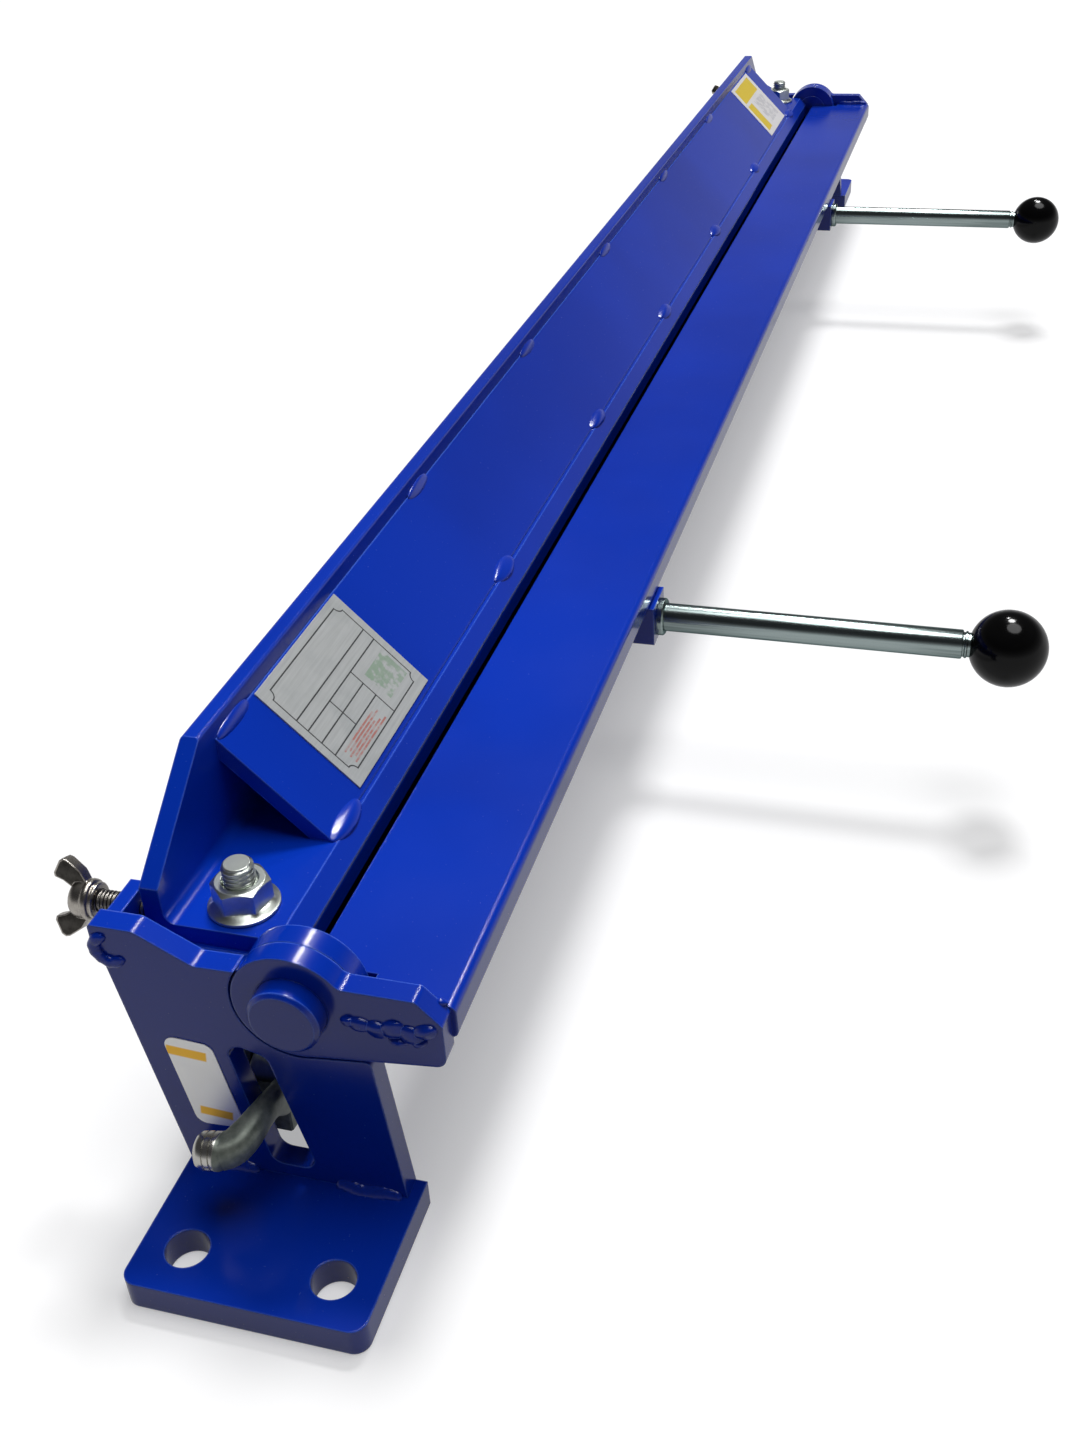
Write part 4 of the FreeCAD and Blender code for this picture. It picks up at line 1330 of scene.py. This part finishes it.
    def _lever(self) -> None:
        """Makes the cast lever: two cam cheeks, a bridge, a bent arm and a turned thumb end."""
        s = self.side.value
        pivot = self.pivot
        sculpt = Sculpt()
        bevel = self.cheek_bevel
        for y0, y1 in ((-self.cheek_out, -self.cheek_in), (self.cheek_in, self.cheek_out)):
            skin = ((y0, None), (y0, bevel), (y0 + bevel, 0.0), (y1 - bevel, 0.0), (y1, bevel), (y1, None))
            rings = []
            for y, inset in skin:
                ring = []
                for a in around(90):
                    r = self.bore_r if inset is None else self._cheek_reach(a) - inset
                    ring.append(pivot + Vector((s * r * math.cos(a), y, r * math.sin(a))))
                rings.append(ring)
            sculpt.loop(rings)
        side_y = self.cheek_out - 1.0
        start = self.bridge_from
        end = self.fork_out - 0.1
        low = self.bridge_low
        high = self.bridge_high
        outline = [pivot + Vector((s * x, -side_y, z)) for x, z in (
            (start, low), (end, low), (end, high), (start, high))]
        sculpt.slab(outline, Vector((0, 2 * side_y, 0)))
        stations = [(pivot + Vector((s * x, y, z)), half_y, half_z) for x, y, z, half_y, half_z in self.arm]
        sculpt.limb(stations)
        lean = Vector(self.thumb_lean)
        sculpt.lathe(self.thumb, stations[-1][0], Vector((s * lean.x, lean.y, lean.z)), 40)
        piece = sculpt.place(self.side.node("cast_lever"), self.finishes.lever, self.side.node("lever"), 42.0)
        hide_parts(self.side.node("clamp_lever"))

    def _stud(self) -> None:
        """Makes the eye bolt with its thread."""
        pivot = self.pivot
        up = Vector((0, 0, 1))
        sculpt = Sculpt()
        start = self.nut.low.z - self.thread_below_nut
        length = self.stud.high.z - start
        sculpt.thread(Vector((pivot.x, pivot.y, start)), up, length, self.bolt_r, self.bolt_pitch)
        shank = pivot + up * self.shank_above_pivot
        sculpt.lathe([(self.bolt_r, 0.0), (self.bolt_r, start - shank.z + 0.3)], shank, up)
        sculpt.loop([
            [pivot + Vector((r * math.cos(a), y, r * math.sin(a))) for a in around(48)]
            for r, y in self.eye])
        piece = sculpt.place(self.side.node("eye_bolt"), self.finishes.satin, "clamp_studs")
        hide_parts(self.side.node("clamp_stud"))

    def _screw(self) -> None:
        """Makes the wing screw, with a cast head of the second finish."""
        turn = math.radians(self.left_turn if self.side is Side.LEFT else self.right_turn)
        axis = Vector((0, 1, 0))
        tip = Vector((self.screw.middle.x, self.screw.low.y, self.screw.middle.z))
        sculpt = Sculpt()
        sculpt.lathe(self.screw_tip, tip, axis, 32)
        top, length = self.screw_thread
        sculpt.thread(tip + axis * top, axis * -1.0, length, self.screw_r, self.screw_pitch, 0.5, 32)
        sculpt.lathe(self.hub, tip, axis, 48, 1)
        span = Vector((math.sin(turn), 0, math.cos(turn)))
        across = axis.cross(span)
        middle = Vector(self.wing_middle)
        for way in (-1, 1):
            rings = []
            for part, shrink in self.wing_skin:
                ring = []
                for point in self.wing:
                    p = middle + (Vector(point) - middle) * shrink
                    half = self.wing_half + self.wing_flare * p.x
                    ring.append(tip + span * (way * p.x) + axis * p.y + across * (part * half))
                rings.append(ring)
            sculpt.rings(rings, finish=1)
        body = self.side.node("adjuster")
        name = self.side.node("wing_screw_cast")
        piece = sculpt.place(name, self.finishes.burnished, body, 40.0, self.finishes.rubbed)
        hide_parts(self.side.node("wing_screw"))

    def dress(self, frame: dict[str, Any]) -> None:
        """Finishes the carried-over nodes."""
        paint(frame, [self.side.node("cam_pin")], self.finishes.zinc)


# Stage

@dataclass
class Studio:
    """Pale floor, soft lamps, pale surroundings and the camera.

    Each lamp has a name, the direction from the part to it, its width in degrees and its strength.
    """

    lens: float = 25.77
    eye: Triple = (-0.6884, -0.1441, 0.3151)
    right: Triple = (0.2700, -0.9615, -0.0509)
    down: Triple = (-0.5430, -0.1085, -0.8327)
    lift: float = 0.38
    floor_reach: float = 8.0
    floor_below: float = 0.0004
    sky: Stops = (
        (0.0, (0.6, 0.6, 0.61)), (0.11, (0.34, 0.34, 0.35)), (0.25, (0.15, 0.15, 0.155)),
        (0.42, (0.04, 0.04, 0.043)), (1.0, (0.022, 0.022, 0.025)))
    lamps: tuple[tuple[str, Triple, float, float], ...] = (
        ("key", (0.58, -0.02, 1.0), 13.0, 2.1), ("fill", (0.08, -0.14, 1.0), 34.0, 1.4),
        ("glint", (0.9, 0.12, 1.0), 4.0, 0.3))

    def floor(self) -> None:
        """Makes a floor that shows white and keeps the shadow."""
        g = Graph.material("pale_floor")
        seen = g.rays("Camera", "Transmission", "Glossy")
        pale = g.mix(g.noise(3.0) * 0.02, (0.98, 0.98, 0.985), (0.94, 0.94, 0.94))
        reflected = g.mix(g.rays("Glossy"), pale, (0.36, 0.36, 0.37))
        tint = g.mix(g.rays("Diffuse"), reflected, (0.12, 0.12, 0.13))
        matt = g.node("ShaderNodeBsdfDiffuse", {}, {"Color": tint})
        white = g.node("ShaderNodeEmission", {}, {"Color": (1, 1, 1, 1), "Strength": 1.0})
        shader = g.node("ShaderNodeMixShader", {}, {0: seen * self.lift, 1: matt, 2: white})
        g.node("ShaderNodeOutputMaterial", {}, {"Surface": shader})
        mesh = bpy.data.meshes.new("floor")
        r = self.floor_reach
        mesh.from_pydata([(-r, -r, 0), (r, -r, 0), (r, r, 0), (-r, r, 0)], [], [(0, 1, 2, 3)])
        mesh.materials.append(g.owner)
        plane = bpy.data.objects.new("floor", mesh)
        plane.location.z = -self.floor_below
        bpy.context.scene.collection.objects.link(plane)

    def world(self) -> None:
        """White for the camera, faintly pale near the horizon and dark overhead for reflections."""
        g = Graph(bpy.data.worlds.new("studio"))
        ray = g.node("ShaderNodeTexCoord", out="Generated")
        height = g.node("ShaderNodeSeparateXYZ", {}, {0: ray}, 2)
        colour = g.mix(g.rays("Camera", "Transmission"), g.ramp(height, self.sky), (1.0, 1.0, 1.0))
        back = g.node("ShaderNodeBackground", {}, {"Color": colour, "Strength": 1.0})
        g.node("ShaderNodeOutputWorld", {}, {"Surface": back})
        bpy.context.scene.world = g.owner

    def lamp(self, name: str, towards: Triple, spread_deg: float, strength: float) -> None:
        """Adds one distant soft lamp.

        Args:
            name: the lamp's name.
            towards: direction from the part to the lamp.
            spread_deg: how wide it looks from the part.
            strength: its strength.
        """
        data = bpy.data.lights.new(name, "SUN")
        data.angle = math.radians(spread_deg)
        data.energy = strength
        lamp = bpy.data.objects.new(name, data)
        lamp.rotation_euler = Vector(towards).to_track_quat("Z", "Y").to_euler()
        bpy.context.scene.collection.objects.link(lamp)

    def camera(self) -> None:
        """Sets the camera at the photograph's viewpoint."""
        data = bpy.data.cameras.new("camera")
        data.sensor_fit = "VERTICAL"
        data.sensor_height = 24.0
        data.lens = self.lens
        data.clip_start = 0.01
        camera = bpy.data.objects.new("camera", data)
        x = Vector(self.right).normalized()
        y = -Vector(self.down)
        y = (y - x * y.dot(x)).normalized()
        z = x.cross(y)
        turn = Matrix((x, y, z)).transposed().to_4x4()
        camera.matrix_world = Matrix.Translation(self.eye) @ turn
        bpy.context.scene.collection.objects.link(camera)
        bpy.context.scene.camera = camera

    def build(self) -> None:
        """Sets up the whole stage."""
        self.floor()
        self.world()
        for lamp in self.lamps:
            self.lamp(*lamp)
        self.camera()
        bpy.context.scene.view_settings.view_transform = "Standard"


def main() -> None:
    """Builds and dresses every sub-assembly, then the stage."""
    logging.basicConfig(level=logging.INFO, format="%(name)s %(message)s")
    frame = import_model()
    finishes = Finishes.from_frame()
    assemblies = [Bed.from_frame(finishes), Leaf.from_frame(finishes), Beam.from_frame(finishes)]
    assemblies += [ClampEnd.from_frame(finishes, side) for side in (Side.LEFT, Side.RIGHT)]
    for assembly in assemblies:
        assembly.build()
        assembly.dress(frame)
    Studio().build()


if __name__ == "__main__":
    main()
